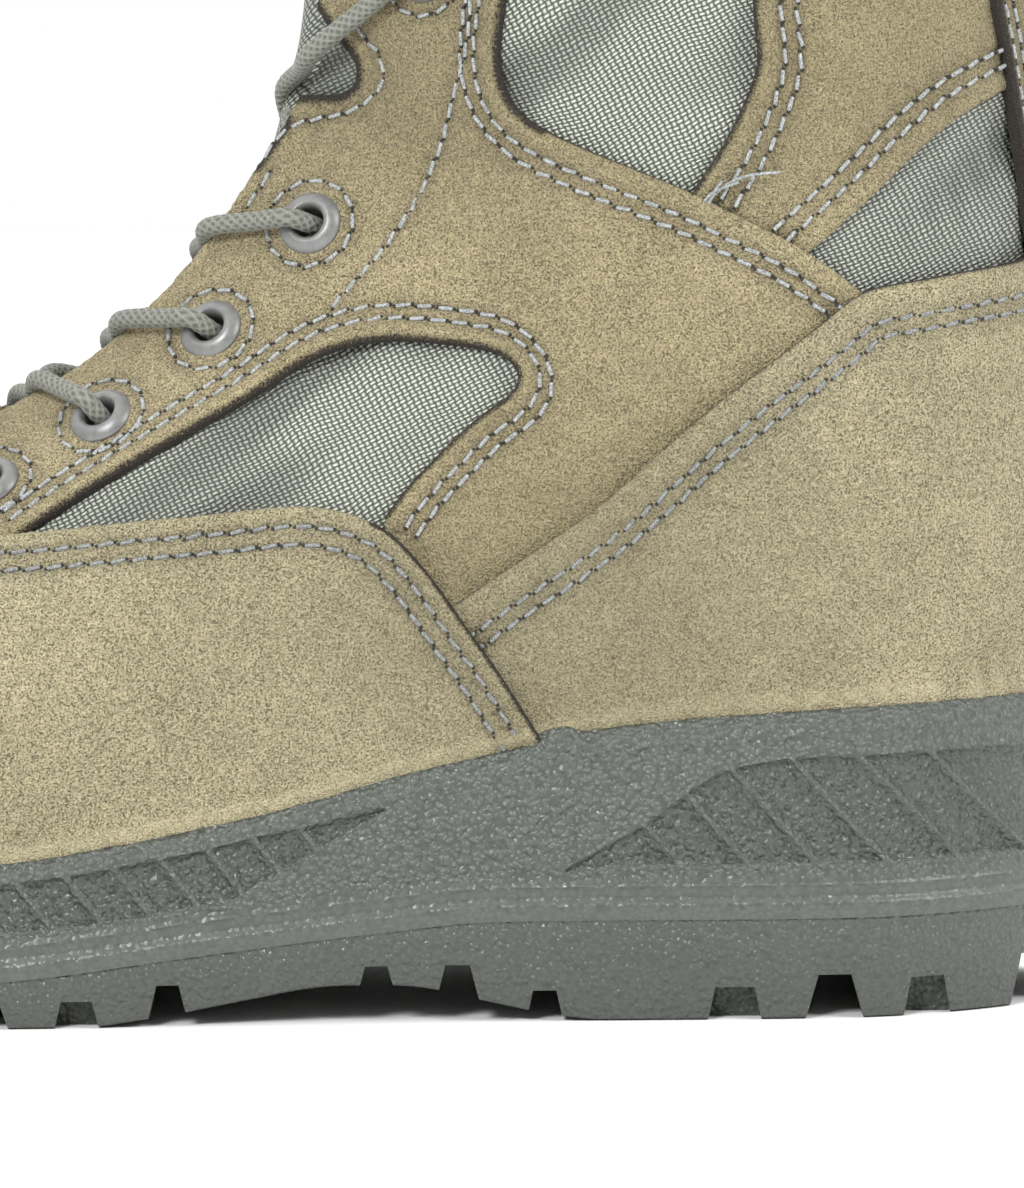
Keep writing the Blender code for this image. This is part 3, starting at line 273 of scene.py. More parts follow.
class Form:
    """One side of the upper's surface. Places on it are (section row, share from the ridge)."""

    def __init__(self, side):
        self.side = side
        made = [half_section(k, side) for k in range(len(ROWS))]
        self.points = np.array([points for points, depth in made])
        self.depth = np.array([depth for points, depth in made])
        self.by_row = np.gradient(self.points, ROW_STEP, axis=0)
        self.by_share = np.gradient(self.points, SHARES[1], axis=1)
        normal = np.cross(self.by_share, self.by_row) * side
        self.normals = normal / np.maximum(np.linalg.norm(normal, axis=2, keepdims=True), 1e-9)

    def pick(self, grid, places):
        """Values of a grid at places between its points."""
        places = np.atleast_2d(places)
        x = np.clip(places[:, 0] / ROW_STEP, 0, len(ROWS) - 1.001)
        y = np.clip(places[:, 1] / SHARES[1], 0, len(SHARES) - 1.001)
        i, j = x.astype(int), y.astype(int)
        f, g = (x - i)[:, None], (y - j)[:, None]
        near = grid[i, j] * (1 - g) + grid[i, j + 1] * g
        far = grid[i + 1, j] * (1 - g) + grid[i + 1, j + 1] * g
        return near * (1 - f) + far * f

    def normal(self, places):
        return unit(self.pick(self.normals, places))

    def at(self, places, lift=0.0):
        lift = np.broadcast_to(lift, (len(np.atleast_2d(places)),))[:, None]
        return self.pick(self.points, places) + self.normal(places) * lift

    def find(self, line):
        """Places on the surface that are seen at (s, z) from the side."""
        line = np.atleast_2d(np.asarray(line, float))

        def turn_from(at):
            front = [np.interp(at, ROWS, TABLE[name]) for name in ("front_s", "front_z")]
            back = [np.interp(at, ROWS, TABLE[name]) for name in ("back_s", "back_z")]
            run = (back[0] - front[0], back[1] - front[1])
            away = (line[:, 0] - front[0], line[:, 1] - front[1])
            share = (run[0] * away[0] + run[1] * away[1]) / (run[0] ** 2 + run[1] ** 2)
            return run[0] * away[1] - run[1] * away[0], share

        low = np.zeros(len(line))
        high = np.full(len(line), ROWS[-1])
        first = turn_from(low)[0] > 0
        for _ in range(HALVINGS):
            middle = (low + high) / 2
            same = (turn_from(middle)[0] > 0) == first
            low = np.where(same, middle, low)
            high = np.where(same, high, middle)
        rows = (low + high) / 2
        depth = turn_from(rows)[1]
        places = []
        for at, deep in zip(rows, depth):
            k = min(int(at / ROW_STEP), len(ROWS) - 2)
            f = at / ROW_STEP - k
            mixed = self.depth[k] * (1 - f) + self.depth[k + 1] * f
            places.append((at, float(np.interp(deep, mixed, SHARES))))
        return np.array(places)

    def aside(self, line, distance):
        """The line moved over the surface by a distance, to its right in the photograph."""
        line = np.asarray(line, float)
        tangent = np.gradient(line, axis=0)
        a, b = tangent.T
        by_row, by_share = self.pick(self.by_row, line), self.pick(self.by_share, line)
        e = (by_row * by_row).sum(axis=1)
        f = (by_row * by_share).sum(axis=1)
        g = (by_share * by_share).sum(axis=1)
        c, d = -(f * a + g * b), e * a + f * b
        size = np.sqrt(np.maximum(e * c * c + 2 * f * c * d + g * d * d, 1e-12))
        step = np.stack([c, d], axis=1) * (distance / size)[:, None]
        if line[:, 0].min() < HEEL_BACK_ROW < line[:, 0].max():
            return self.aside_by_height(line, by_row * step[:, :1] + by_share * step[:, 1:])
        moved = line + step
        moved[:, 0] = np.clip(moved[:, 0], 0.0, ROWS[-1])
        moved[:, 1] = np.clip(moved[:, 1], 0.0, 1.0)
        return moved

    def aside_by_height(self, line, step):
        """The same for a line that passes the heel, where the rows bend: steps are evened out."""
        window = np.ones(EVEN_WINDOW) / EVEN_WINDOW
        ends = EVEN_WINDOW // 2
        padded = np.pad(step, ((ends, ends), (0, 0)), mode="edge")
        even = np.stack([np.convolve(column, window, "valid") for column in padded.T], axis=1)
        sizes = [np.linalg.norm(steps, axis=1, keepdims=True) for steps in (step, even)]
        even *= sizes[0] / sizes[1]
        return self.find((self.at(line) + even)[:, [0, 2]])

    def across(self, row, y):
        """The place on a row at a distance y from the boot's middle plane."""
        k = min(max(int(round(row / ROW_STEP)), 0), len(ROWS) - 1)
        away = self.points[k, :, 1] * self.side
        top = int(np.argmax(away)) + 1
        return row, float(np.interp(abs(y), away[:top], SHARES[:top]))


def share_normals(forms):
    """Give both sides the same direction where they meet, so that welded halves are smooth."""
    lateral, medial = forms[1], forms[-1]
    joined = ROWS >= HEEL_BACK_ROW
    for rows, column in ((slice(None), 0), (joined, -1)):
        middle = unit(lateral.normals[rows, column] + medial.normals[rows, column])
        lateral.normals[rows, column] = medial.normals[rows, column] = middle
    lateral.normals[0] = medial.normals[0] = unit(lateral.normals[0] + medial.normals[0])


FORMS = {1: Form(1), -1: Form(-1)}
share_normals(FORMS)
WORDS = {1: "lateral", -1: "medial"}


def camera_place():
    """Where the photograph was taken from, in the boot's coordinates."""
    back = np.array([0.0, math.cos(CAMERA_TILT), math.sin(CAMERA_TILT)])
    return CAMERA_TARGET + back * CAMERA_DISTANCE


def seen(pixels):
    """(s, z) of the points on the lateral side of the upper under pixels of the photograph."""
    pixels = np.asarray(pixels, float)
    eye = camera_place()
    ahead = np.array([0.0, -math.cos(CAMERA_TILT), -math.sin(CAMERA_TILT)])
    right = np.array([-1.0, 0.0, 0.0])
    up = np.array([0.0, -math.sin(CAMERA_TILT), math.cos(CAMERA_TILT)])
    ray = ahead * CAMERA_DISTANCE * PIXELS_PER_MM
    ray = ray + right * (pixels[:, :1] - PHOTO_WIDTH / 2) + up * (PHOTO_HEIGHT / 2 - pixels[:, 1:])
    y = np.full(len(pixels), CAMERA_TARGET[1])
    for _ in range(SIGHT_STEPS):
        reach = (y - eye[1]) / ray[:, 1]
        spot = eye + ray * reach[:, None]
        y = FORMS[1].at(FORMS[1].find(spot[:, [0, 2]]))[:, 1]
    return [tuple(point) for point in spot[:, [0, 2]]]


# Edges of the panels as pixels of the photograph, with millimetres where they run out of it
VAMP_EDGE = seen([
    (30, 542), (89, 535), (152, 527), (223, 519), (300, 511), (330, 513), (358, 520), (386, 533),
    (411, 555), (440, 590), (466, 627), (491, 661), (516, 699), (540, 737), (547, 750),
])
VAMP_TONGUE = [(215.4, 84.0), (211.5, 81.6), (205.0, 79.0), (196.0, 78.4)]
COUNTER_EDGE = seen([
    (440, 616), (455, 605), (520, 560), (600, 505), (680, 435), (760, 370), (830, 315), (860, 293),
    (900, 283), (960, 272), (1010, 262),
])
WINDOW_EDGE = seen([
    (22, 541), (60, 515), (100, 490), (200, 431), (270, 389), (311, 363), (355, 347), (400, 342),
    (444, 345), (485, 351), (510, 362), (519, 378), (512, 394), (490, 411), (440, 455), (405, 492),
    (385, 518),
])
ARM_EDGE = [(96.0, 222.0), (96.4, 206.0), (97.4, 186.0)] + seen([
    (506, 10), (502, 40), (502, 66), (507, 88), (522, 112), (545, 129), (575, 144), (620, 163),
    (690, 192), (745, 219), (800, 248), (840, 276), (866, 296),
])
STRAP_FRONT = seen([(684, 205), (700, 180), (720, 150), (745, 100), (757, 60), (754, 25)])
STRAP_FRONT += [(57.6, 172.0), (60.6, 190.0), (63.4, 206.0), (64.6, 218.0)]
STRAP_BACK = seen([(798, 262), (822, 240), (860, 205), (900, 165), (950, 120), (985, 98)])
STRAP_BACK += [(9.4, 157.0)]
BACKSTAY_EDGE = [(8.0, 121.0)] + seen([(1023, 235), (1017, 190), (1004, 100), (995, 46), (987, 2)])
BACKSTAY_EDGE += [(17.3, 190.0), (17.7, 212.0)]
NOTCH_EDGE = seen([(292, 101), (319, 97), (346, 95), (359, 86), (363, 72), (359, 58), (350, 46)])
NOTCH_EDGE = [(146.0, 151.2)] + NOTCH_EDGE + [(128.4, 167.4), (132.2, 172.0), (142.0, 173.5)]
NOTCH_ROW = seen([
    (269, 164), (281, 146), (296, 131), (312, 124), (343, 117), (364, 108), (379, 96), (388, 83),
    (389, 67), (384, 52), (374, 40), (362, 24),
])
STAY_ROW = [(104.4, 216.0), (105.0, 190.0)] + seen([
    (474, 20), (467, 64), (460, 90), (452, 124), (445, 148), (436, 169), (424, 195), (412, 214),
    (400, 232), (383, 255), (358, 284), (332, 313),
])
BAND_EDGE = [(127.0, 220.0), (96.0, 216.5), (60.0, 212.4), (25.0, 208.2), (8.0, 205.6)]

# Ends of pieces that lie under others
COUNTER_END, COUNTER_FRONT, COUNTER_RIM_SPAN = (5.0, 128.0), [(101.0, 52.0), (108.0, 62.0)], (6.0, 98.0)
QUARTER_HEAD = [(118.0, 223.5), (96.0, 222.0)]
STRAP_LOW = [(47.0, 125.0), (60.0, 131.0)]
STRAP_REAR = [(11.5, 172.0), (12.5, 190.0), (13.0, 211.0)]
UNDER_COUNTER = [(34.0, 117.5), (41.0, 113.0), (53.0, 103.5), (66.0, 93.0), (79.0, 81.5),
                 (92.0, 72.0), (104.0, 64.0)]
UNDER_VAMP = [(112.0, 66.0), (118.0, 72.0), (124.0, 77.0), (131.0, 79.6), (150.0, 78.4),
              (166.0, 76.4), (182.0, 74.0), (198.0, 73.4), (208.0, 76.0), (214.0, 81.6)]
WINDOW_UNDER_VAMP = [(118.0, 77.5), (124.0, 81.0), (132.0, 82.0), (150.0, 80.4), (166.0, 78.4),
                     (176.0, 77.0)]

# Throat, eyelets and lace
THROAT_HALF_WIDTH = 12.0
THROAT_END_S = 204.0
FRAYED_ROWS = (10.9, 11.5)
EYELETS = (
    (184.6, 88.0), (165.6, 98.9), (147.2, 113.6), (130.6, 131.6), (111.6, 174.8),
    (108.4, 198.4), (106.2, 221.6),
)
LACE_RADIUS = 1.65
BRAID_STRANDS, BRAID_TURN = 6, 3.6
# Shares of the way up to the next eyelet at which a leg passes the two edges of the throat
LEG_ENTRY = 0.02
LEG_EXITS = (0.5, 0.33, 0.29, 0.36, 0.36, 0.36)
# How far lace and tongue stand up from the straight line across the throat
CROWN_ROWS, LACE_CROWN, TONGUE_CROWN = (11.2, 12.0), (1.0, 3.6), (5.0, 8.0)
TONGUE_OUTER, TONGUE_INNER = -5.4, -8.6

# Stitching
STITCH_PITCH = 3.6
STITCH_LENGTH = 3.5
STITCH_SLANT = 0.12
THREAD_RADIUS = 0.33
THREAD_SIDES = 7
LOOSE_RISE = 2.2
# Thread ends left at the foot of the strap, as pixels of the photograph
LOOSE_ENDS = (
    ((706, 204), (716, 192), (731, 181), (750, 174), (778, 171)),
    ((709, 204), (714, 192), (722, 179)),
    ((703, 203), (711, 193), (724, 186), (738, 181)),
)
GROOVE_DEPTH = 0.3
GROOVE_WIDTH = 0.8

# Mesh spacing of the panels and the scale that makes (row, share) near to millimetres
EDGE_STEP = 0.8
SAMPLE_STEP = EDGE_STEP / 3
LATTICE_STEP, UPPER_LATTICE_STEP = 2.0, 2.6
POINT_SPACING, RIM_CLEARANCE, FAR_OFF = 0.3, 0.22, 99.0
CHART = np.array([15.0, 130.0])
# Rolled edges and hems, and the lines of points that follow an edge
ROLL_WIDTH, ROLL_DROP = 0.9, 0.55
INSETS = (0.3, 0.75, 1.3, 2.0, 2.8)
HEM_RISE, HEM_MIDDLE, HEM_WIDTH = 0.45, 2.0, 1.0
# How strong and how wide the dark band is along each kind of edge: the edges' own staining, with painted
# shadow where an edge lies over another piece and along the window hems
EDGE_KINDS = ("cut", "raw", "dark", "hem")
STAINS_AND_SHADOWS = (("cut", 0.45, 0.4), ("raw", 1.0, 0.8), ("dark", 1.0, 2.0), ("hem", 0.78, 1.15))
# Distance from a cut edge within which the underside is darkened, so that the foot of the edge's wall is
# painted dark with staining and shade; width of the painted shade along stitch grooves
UNDER_STAIN_SHADOW, SEAM_SHADE_WIDTH = 0.6, 1.1
# Unevenness of the leather, its lift towards an edge and the ragged edge itself
PUFF, PUFF_SCALE, PUFF_FADE = 0.35, 9.0, 4.0
CLOTH_PUFF = 0.5
FLARE, FLARE_WIDTH = 0.3, 3.0
VAMP_FLARE, COUNTER_FLARE = 0.8, 0.4
RAGGED, RAGGED_SCALE, RAGGED_WIDTH = 0.5, 1.2, 0.9
WELT_RISE, WELT_MIDDLE, WELT_WIDTH = 0.6, 3.9, 0.9
# Folds of the nylon: their direction in side view and their size
CREASE_TURN = math.radians(38.0)
CREASE_WIDTH, CREASE_LENGTH, CREASE_DEPTH, CREASE_SLACK, CREASE_FADE = 8.5, 40.0, 2.2, 0.1, 6.0
# Dent of a piece where the edge of another lies on it
PRESS_DEPTH, PRESS_WIDTH = 0.8, 2.4
PRESS_INSETS = (0.0, 0.5, -0.5, 1.2, -1.2, 2.2, -2.2)
# How near points are welded where halves meet, the shortest edge in metres, and the usual sharp angle
SEAM_WELD, DEGENERATE, SHARP_ANGLE = 0.002, 1e-8, 40.0


def sole_height(table, s):
    """Cubic through a table of (place, height) that never swings past its own points."""
    knots, values = np.array(table, float).T
    step = np.diff(knots)
    slope = np.diff(values) / step
    tangent = np.concatenate([[slope[0]], (slope[:-1] + slope[1:]) / 2, [slope[-1]]])
    tangent[1:-1][slope[:-1] * slope[1:] <= 0] = 0
    for i, run in enumerate(slope):
        tangent[i:i + 2] = np.clip(tangent[i:i + 2], -3 * abs(run), 3 * abs(run))
    s = np.clip(np.asarray(s, float), knots[0], knots[-1])
    i = np.clip(np.searchsorted(knots, s) - 1, 0, len(knots) - 2)
    h = step[i]
    u = (s - knots[i]) / h
    return (
        values[i] * (1 + 2 * u) * (1 - u) ** 2 + tangent[i] * h * u * (1 - u) ** 2
        + values[i + 1] * u * u * (3 - 2 * u) + tangent[i + 1] * h * u * u * (u - 1)
    )


# Heights along the sole as (s, z): top of its rim, parting line and underside
RIM = (
    (0, 53.0), (30, 52.4), (55, 51.2), (71, 50.0), (86, 48.2), (96, 45.8), (108, 43.2),
    (119, 40.6), (137, 35.6), (160, 30.8), (182, 27.3), (205, 25.6), (230, 26.0), (255, 28.4),
    (275, 31.6), (304, 36.5),
)
NUB_S, NUB_RISE, NUB_WIDTH = 90.2, 1.8, 3.4
PARTING = (
    (0, 17.4), (30, 17.0), (100, 16.8), (120, 15.2), (149, 11.9), (182, 7.9), (210, 7.0),
    (240, 8.0), (270, 11.8), (304, 18.6),
)
UNDERSIDE = (
    (-2, 5.2), (6, 2.4), (14, 0.0), (82, 0.0), (93, 1.5), (101, 3.2), (110, 5.4), (117, 6.3),
    (126, 6.4), (133, 5.8), (141, 4.3), (152, 2.3), (160, 1.0), (168, 0.0), (250, 0.0),
    (262, 0.9), (280, 4.8), (304, 13.2),
)


def rim_height(s):
    """Top of the rim, with the small step up where the vamp's edge meets it."""
    return sole_height(RIM, s) + NUB_RISE * np.exp(-(((np.asarray(s) - NUB_S) / NUB_WIDTH) ** 4))


def inside(polygon, points):
    """Which points lie in a closed polygon."""
    x, y = points[:, 0], points[:, 1]
    result = np.zeros(len(points), bool)
    ahead = np.roll(polygon, -1, axis=0)
    for (x0, y0), (x1, y1) in zip(polygon, ahead):
        if y0 == y1:
            continue
        crosses = (y0 > y) != (y1 > y)
        result ^= crosses & (x < (x1 - x0) * (y - y0) / (y1 - y0) + x0)
    return result


def within(loops, points):
    """Which points lie in the first loop and outside the others."""
    result = inside(loops[0], points)
    for hole in loops[1:]:
        result &= ~inside(hole, points)
    return result


def tree_of(points):
    """A search tree of flat or solid points."""
    tree = KDTree(max(len(points), 1))
    for k, point in enumerate(points):
        tree.insert(Vector((*point, 0.0)[:3]), k)
    tree.balance()
    return tree


def nearest(tree, points):
    """Distance to the nearest point of a tree, and its number, for each point."""
    found = [tree.find(Vector((*point, 0.0)[:3])) for point in points]
    return np.array([f[2] for f in found]), np.array([f[1] for f in found])


def apart(points, spacing):
    """The points that remain when those closer than the spacing to an earlier one are dropped."""
    kept, cells = [], {}
    for point in points:
        cell = (int(point[0] // spacing), int(point[1] // spacing))
        close = False
        for i in (-1, 0, 1):
            for j in (-1, 0, 1):
                for other in cells.get((cell[0] + i, cell[1] + j), ()):
                    if (other[0] - point[0]) ** 2 + (other[1] - point[1]) ** 2 < spacing**2:
                        close = True
        if not close:
            cells.setdefault(cell, []).append(point)
            kept.append(point)
    return np.array(kept)


def triangulate(loops, extra):
    """Triangles inside the first loop and outside the others, through the extra points."""
    points, edges = [], []
    for loop in loops:
        start = len(points)
        points += [Vector(point) for point in loop]
        edges += [(start + k, start + (k + 1) % len(loop)) for k in range(len(loop))]
    points += [Vector(point) for point in extra]
    made = delaunay_2d_cdt(points, edges, [], 0, 1e-4)
    places = np.array([tuple(v) for v in made[0]])
    faces = np.array([tuple(f) for f in made[2]])
    faces = faces[within(loops, places[faces].mean(axis=1))]
    used = np.unique(faces)
    renumber = np.full(len(places), -1)
    renumber[used] = np.arange(len(used))
    return places[used], renumber[faces]


def outline_edges(faces):
    """Directed edges that belong to one triangle only."""
    count = {}
    for a, b, c in faces:
        for edge in ((a, b), (b, c), (c, a)):
            count[edge] = count.get(edge, 0) + 1
    return [edge for edge in count if edge[::-1] not in count]


def undulation(points, scale, size):
    """Gentle unevenness, as hand-lasted leather has."""
    return np.array([noise.noise(Vector(point) / scale) for point in points]) * size


class Half:
    """One side of a panel, laid on the upper: outline pieces are (line of places, kind)."""

    def __init__(self, form, outline, holes=(), rows=(), over=(), step=LATTICE_STEP):
        self.form = form
        chart_loops, samples, kinds, free = [], [], [], []
        for loop in [outline] + list(holes):
            points = []
            for line, kind in loop:
                dense = self.even(line, EDGE_STEP)
                points += list(dense[:-1])
                fine = self.even(line, SAMPLE_STEP)
                samples += list(fine)
                kinds += [kind] * len(fine)
                for distance in INSETS if kind in EDGE_KINDS else ():
                    free += list(form.aside(dense, distance) * CHART)
                    free += list(form.aside(dense, -distance) * CHART)
            chart_loops.append(np.array(points) * CHART)
        for lines, distances in ((rows, (0.0, GROOVE_WIDTH, -GROOVE_WIDTH)), (over, PRESS_INSETS)):
            for line in lines:
                dense = self.even(line, EDGE_STEP)
                for distance in distances:
                    free += list(form.aside(dense, distance) * CHART)
        low, high = chart_loops[0].min(axis=0), chart_loops[0].max(axis=0)
        xs = np.arange(low[0], high[0], step)
        ys = np.arange(low[1], high[1], step)
        for k, x in enumerate(xs):
            free += [(x, y + step / 2 * (k % 2)) for y in ys]
        free = np.array(free)
        free = apart(free[within(chart_loops, free)], POINT_SPACING)
        rim = tree_of(np.concatenate([resample(closed(loop), POINT_SPACING) for loop in chart_loops]))
        free = free[nearest(rim, free)[0] > RIM_CLEARANCE]
        chart, self.faces = triangulate(chart_loops, free)
        self.places = chart / CHART
        self.base = form.at(self.places)
        self.normals = form.normal(self.places)
        self.samples = form.at(np.array(samples))
        self.kinds = np.array(kinds)
        self.rows = [form.at(self.even(line, EDGE_STEP / 2)) for line in rows]
        self.over = [form.at(self.even(line, EDGE_STEP)) for line in over]
        self.orient()

    def even(self, line, step):
        """The line of places with points every step of millimetres on the surface."""
        along = lengths(self.form.at(line))
        return read_table(even_steps(along[-1], step), along, line)

    def orient(self):
        """Turn all the triangles to the outside."""
        a, b, c = (self.base[self.faces[:, k]] for k in range(3))
        facing = (np.cross(b - a, c - a) * self.normals[self.faces[:, 0]]).sum(axis=1)
        self.faces[facing < 0] = self.faces[facing < 0][:, ::-1]

    def distance(self, kinds):
        """Distance of every vertex from the edges of some kinds."""
        return self.away(self.samples[np.isin(self.kinds, kinds)])

    def line_distance(self, lines):
        """Distance of every vertex from some lines."""
        return self.away(np.concatenate(lines) if lines else ())

    def away(self, points):
        """Distance of every vertex from the nearest of the points; far off if there are none."""
        if not len(points):
            return np.full(len(self.base), FAR_OFF)
        return nearest(tree_of(points), self.base)[0]


def link(name, mesh, body=True):
    """A new object in the scene, which rides on the boot unless it is a tool or the floor."""
    item = bpy.data.objects.new(name, mesh)
    bpy.context.scene.collection.objects.link(item)
    if body:
        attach(item, "root")
    return item


def mesh_from(name, vertices, faces):
    """A mesh from millimetre vertices."""
    mesh = bpy.data.meshes.new(name)
    mesh.from_pydata(metres(vertices).tolist(), [], [list(map(int, face)) for face in faces])
    mesh.validate()
    return mesh


def finish_mesh(mesh, weld=0.0, sharp=SHARP_ANGLE):
    """Weld near points, turn the faces outwards and shade all but sharp edges smooth."""
    work = bmesh.new()
    work.from_mesh(mesh)
    if weld:
        bmesh.ops.remove_doubles(work, verts=work.verts, dist=weld * MM)
    bmesh.ops.dissolve_degenerate(work, edges=work.edges, dist=DEGENERATE)
    bmesh.ops.recalc_face_normals(work, faces=work.faces)
    work.to_mesh(mesh)
    work.free()
    mesh.shade_smooth()
    mesh.set_sharp_from_angle(angle=math.radians(sharp))


def piece(name, vertices, faces, look, slot, nodes=(), shades=None, weld=0.0, sharp=SHARP_ANGLE):
    """A finished piece that rides on the boot; shades are numbers at its vertices for the material."""
    mesh = mesh_from(name, vertices, faces)
    for attribute, values in (shades or {}).items():
        layer = mesh.attributes.new(attribute, "FLOAT", "POINT")
        layer.data.foreach_set("value", np.asarray(values, float))
    finish_mesh(mesh, weld, sharp)
    mesh.materials.append(look)
    item = link(name, mesh)
    if nodes:
        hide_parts(*nodes)
    return item


def creases(points):
    """Slack folds of the cloth, all below its full height and longer than they are wide."""
    ahead = np.array([-math.cos(CREASE_TURN), 0.0, math.sin(CREASE_TURN)])
    across = np.array([math.sin(CREASE_TURN), 0.0, math.cos(CREASE_TURN)])
    axes = (points @ across / CREASE_WIDTH, points @ ahead / CREASE_LENGTH, np.sign(points[:, 1]))
    waves = np.array([noise.noise(Vector(place)) for place in zip(*axes)])
    return CREASE_DEPTH * np.minimum(waves - CREASE_SLACK, 0.0)


def panel(node, halves, top, base, look, puff=PUFF, flare=FLARE, creased=False):
    """A piece of leather or cloth: rolled edges, grooves under the stitching and closed sides."""
    vertices, faces = [], []
    shades = {"stain_and_shadow": [], "seam": [], "welt": [], "lining": [], "folded": []}
    for half in halves:
        start, count = len(vertices), len(half.base)
        cut, hem = half.distance(EDGE_KINDS), half.distance(["hem"])
        row = half.line_distance(half.rows)
        ridge = bell(half.distance(["welt"]) - WELT_MIDDLE, WELT_WIDTH)
        lift = top - ROLL_DROP * (1 - np.clip(cut / ROLL_WIDTH, 0, 1)) ** 2
        lift -= GROOVE_DEPTH * bell(row, GROOVE_WIDTH)
        lift += undulation(half.base, PUFF_SCALE, puff) * smoothstep(cut / PUFF_FADE)
        lift += HEM_RISE * bell(hem - HEM_MIDDLE, HEM_WIDTH)
        lift += flare * bell(cut, FLARE_WIDTH) + WELT_RISE * ridge
        lift += undulation(half.base, RAGGED_SCALE, RAGGED) * bell(cut, RAGGED_WIDTH)
        fold = creases(half.base) * smoothstep(cut / CREASE_FADE) * float(creased)
        lift += fold
        lift -= PRESS_DEPTH * bell(half.line_distance(half.over), PRESS_WIDTH)
        vertices += list(half.base + half.normals * lift[:, None])
        vertices += list(half.base + half.normals * base)
        faces += [tuple(face + start) for face in half.faces]
        faces += [tuple(face[::-1] + start + count) for face in half.faces]
        tree = tree_of(half.samples)
        for a, b in outline_edges(half.faces):
            middle = (half.base[a] + half.base[b]) / 2
            if half.kinds[tree.find(Vector(middle))[1]] != "seam":
                a, b = a + start, b + start
                faces.append((b, a, a + count, b + count))
        # Dark bands along edges: their own staining and painted shadow; then painted shade along stitch
        # grooves, the welt, the lining side and the folds' depth
        stain_shadow_bands = [most * bell(half.distance([kind]), width) for kind, most, width in STAINS_AND_SHADOWS]
        none = np.zeros(count)
        for name, outer, inner in (
            ("stain_and_shadow", np.max(stain_shadow_bands, axis=0), cut < UNDER_STAIN_SHADOW),
            ("seam", bell(row, SEAM_SHADE_WIDTH), none),
            ("welt", ridge, none), ("lining", none, none + 1), ("folded", -fold, none),
        ):
            shades[name] += [*outer, *inner]
    name, slot = (f"{node}_cloth", "nylon") if node == "upper" else (f"{node}_suede", "suede")
    weld = SEAM_WELD if len(halves) > 1 else 0.0
    piece(name, vertices, faces, look, slot, [node], shades, weld)


class Look:
    """Short calls for a material's nodes. Texture places are millimetres in the frame."""

    def __init__(self, name, **settings):
        self.material = bpy.data.materials.new(name)
        self.material.use_nodes = True
        self.tree = self.material.node_tree
        self.shader = self.tree.nodes["Principled BSDF"]
        for socket, value in settings.items():
            self.shader.inputs[socket.replace("_", " ")].default_value = value
        where = self.tree.nodes.new("ShaderNodeTexCoord")
        scaled = self.put("ShaderNodeVectorMath", {"operation": "SCALE"}, {
            "Vector": where.outputs["Object"], "Scale": 1 / MM,
        })
        self.place = scaled.outputs[0]

    def put(self, kind, options, inputs):
        node = self.tree.nodes.new(kind)
        for name, value in options.items():
            setattr(node, name, value)
        for name, value in inputs.items():
            self.set(node.inputs[name], value)
        return node

    def set(self, socket, value):
        if isinstance(value, bpy.types.NodeSocket):
            self.tree.links.new(value, socket)
        else:
            socket.default_value = value

    def noise(self, scale, detail=2.0, rough=0.55, place=None):
        node = self.put("ShaderNodeTexNoise", {}, {
            "Vector": place or self.place, "Scale": scale, "Detail": detail, "Roughness": rough,
        })
        return node.outputs[0]

    def cells(self, scale, place=None):
        node = self.put("ShaderNodeTexVoronoi", {"feature": "SMOOTH_F1"}, {
            "Vector": place or self.place, "Scale": scale, "Smoothness": 0.4,
        })
        return node.outputs["Distance"]

    def range(self, value, low, high, to_low=0.0, to_high=1.0):
        node = self.put("ShaderNodeMapRange", {}, {
            "Value": value, "From Min": low, "From Max": high, "To Min": to_low, "To Max": to_high,
        })
        return node.outputs[0]

    def math(self, operation, a, b=0.0):
        node = self.put("ShaderNodeMath", {"operation": operation}, {0: a, 1: b})
        return node.outputs[0]

    def times(self, a, b):
        return self.math("MULTIPLY", a, b)

    def plus(self, a, b):
        return self.math("ADD", a, b)

    def minus(self, a, b):
        return self.math("SUBTRACT", a, b)

    def away(self, spot):
        """Distance of the shaded place from a spot."""
        ends = {0: self.place, 1: spot}
        return self.put("ShaderNodeVectorMath", {"operation": "DISTANCE"}, ends).outputs[1]

    def mix(self, share, a, b):
        node = self.put("ShaderNodeMix", {"data_type": "RGBA"}, {0: share})
        for index, colour in ((6, a), (7, b)):
            if not isinstance(colour, bpy.types.NodeSocket):
                colour = (*colour, 1.0)
            self.set(node.inputs[index], colour)
        return node.outputs[2]

    def attribute(self, name):
        node = self.put("ShaderNodeAttribute", {"attribute_name": name}, {})
        return node.outputs["Fac"]

    def bump(self, height, depth, normal=None):
        """Relief whose full range is depth, in millimetres."""
        inputs = {"Height": height, "Distance": depth * MM, "Strength": 1.0}
        if normal:
            inputs["Normal"] = normal
        return self.put("ShaderNodeBump", {}, inputs).outputs[0]

    def done(self, colour, normal=None, roughness=None):
        self.set(self.shader.inputs["Base Color"], colour)
        if normal:
            self.set(self.shader.inputs["Normal"], normal)
        if roughness:
            self.set(self.shader.inputs["Roughness"], roughness)
        return self.material


# Noises are (points for a millimetre, detail, roughness)
# Spans are (from, to) or (from, to, to low, to high)
MIDDLE = (0.3, 0.7)
GRAIN, MOTTLE, CLOUD = (2.6, 1.0, 0.5), (0.30, 3.0, 0.6), (0.05, 3.0, 0.55)
GRAIN_SPAN, GRAIN_SHARE, MOTTLE_SHARE, CLOUD_SHARE = (0.34, 0.66), 0.58, 0.15, 0.22
PORES, PORE_SPAN, PORE_BROWN = (3.0, 0.0, 0.5), (0.57, 0.68, 0.0, 0.75), (0.092, 0.072, 0.042)
FUZZ, FUZZ_DEPTH, GRAIN_DEPTH = (4.5, 1.0, 0.6), 0.10, 1.0
EDGE_STAIN_AND_SHADE, STAIN_SHADOW_SPAN = (0.024, 0.019, 0.016), (0.35, 0.70, 0.0, 0.97)
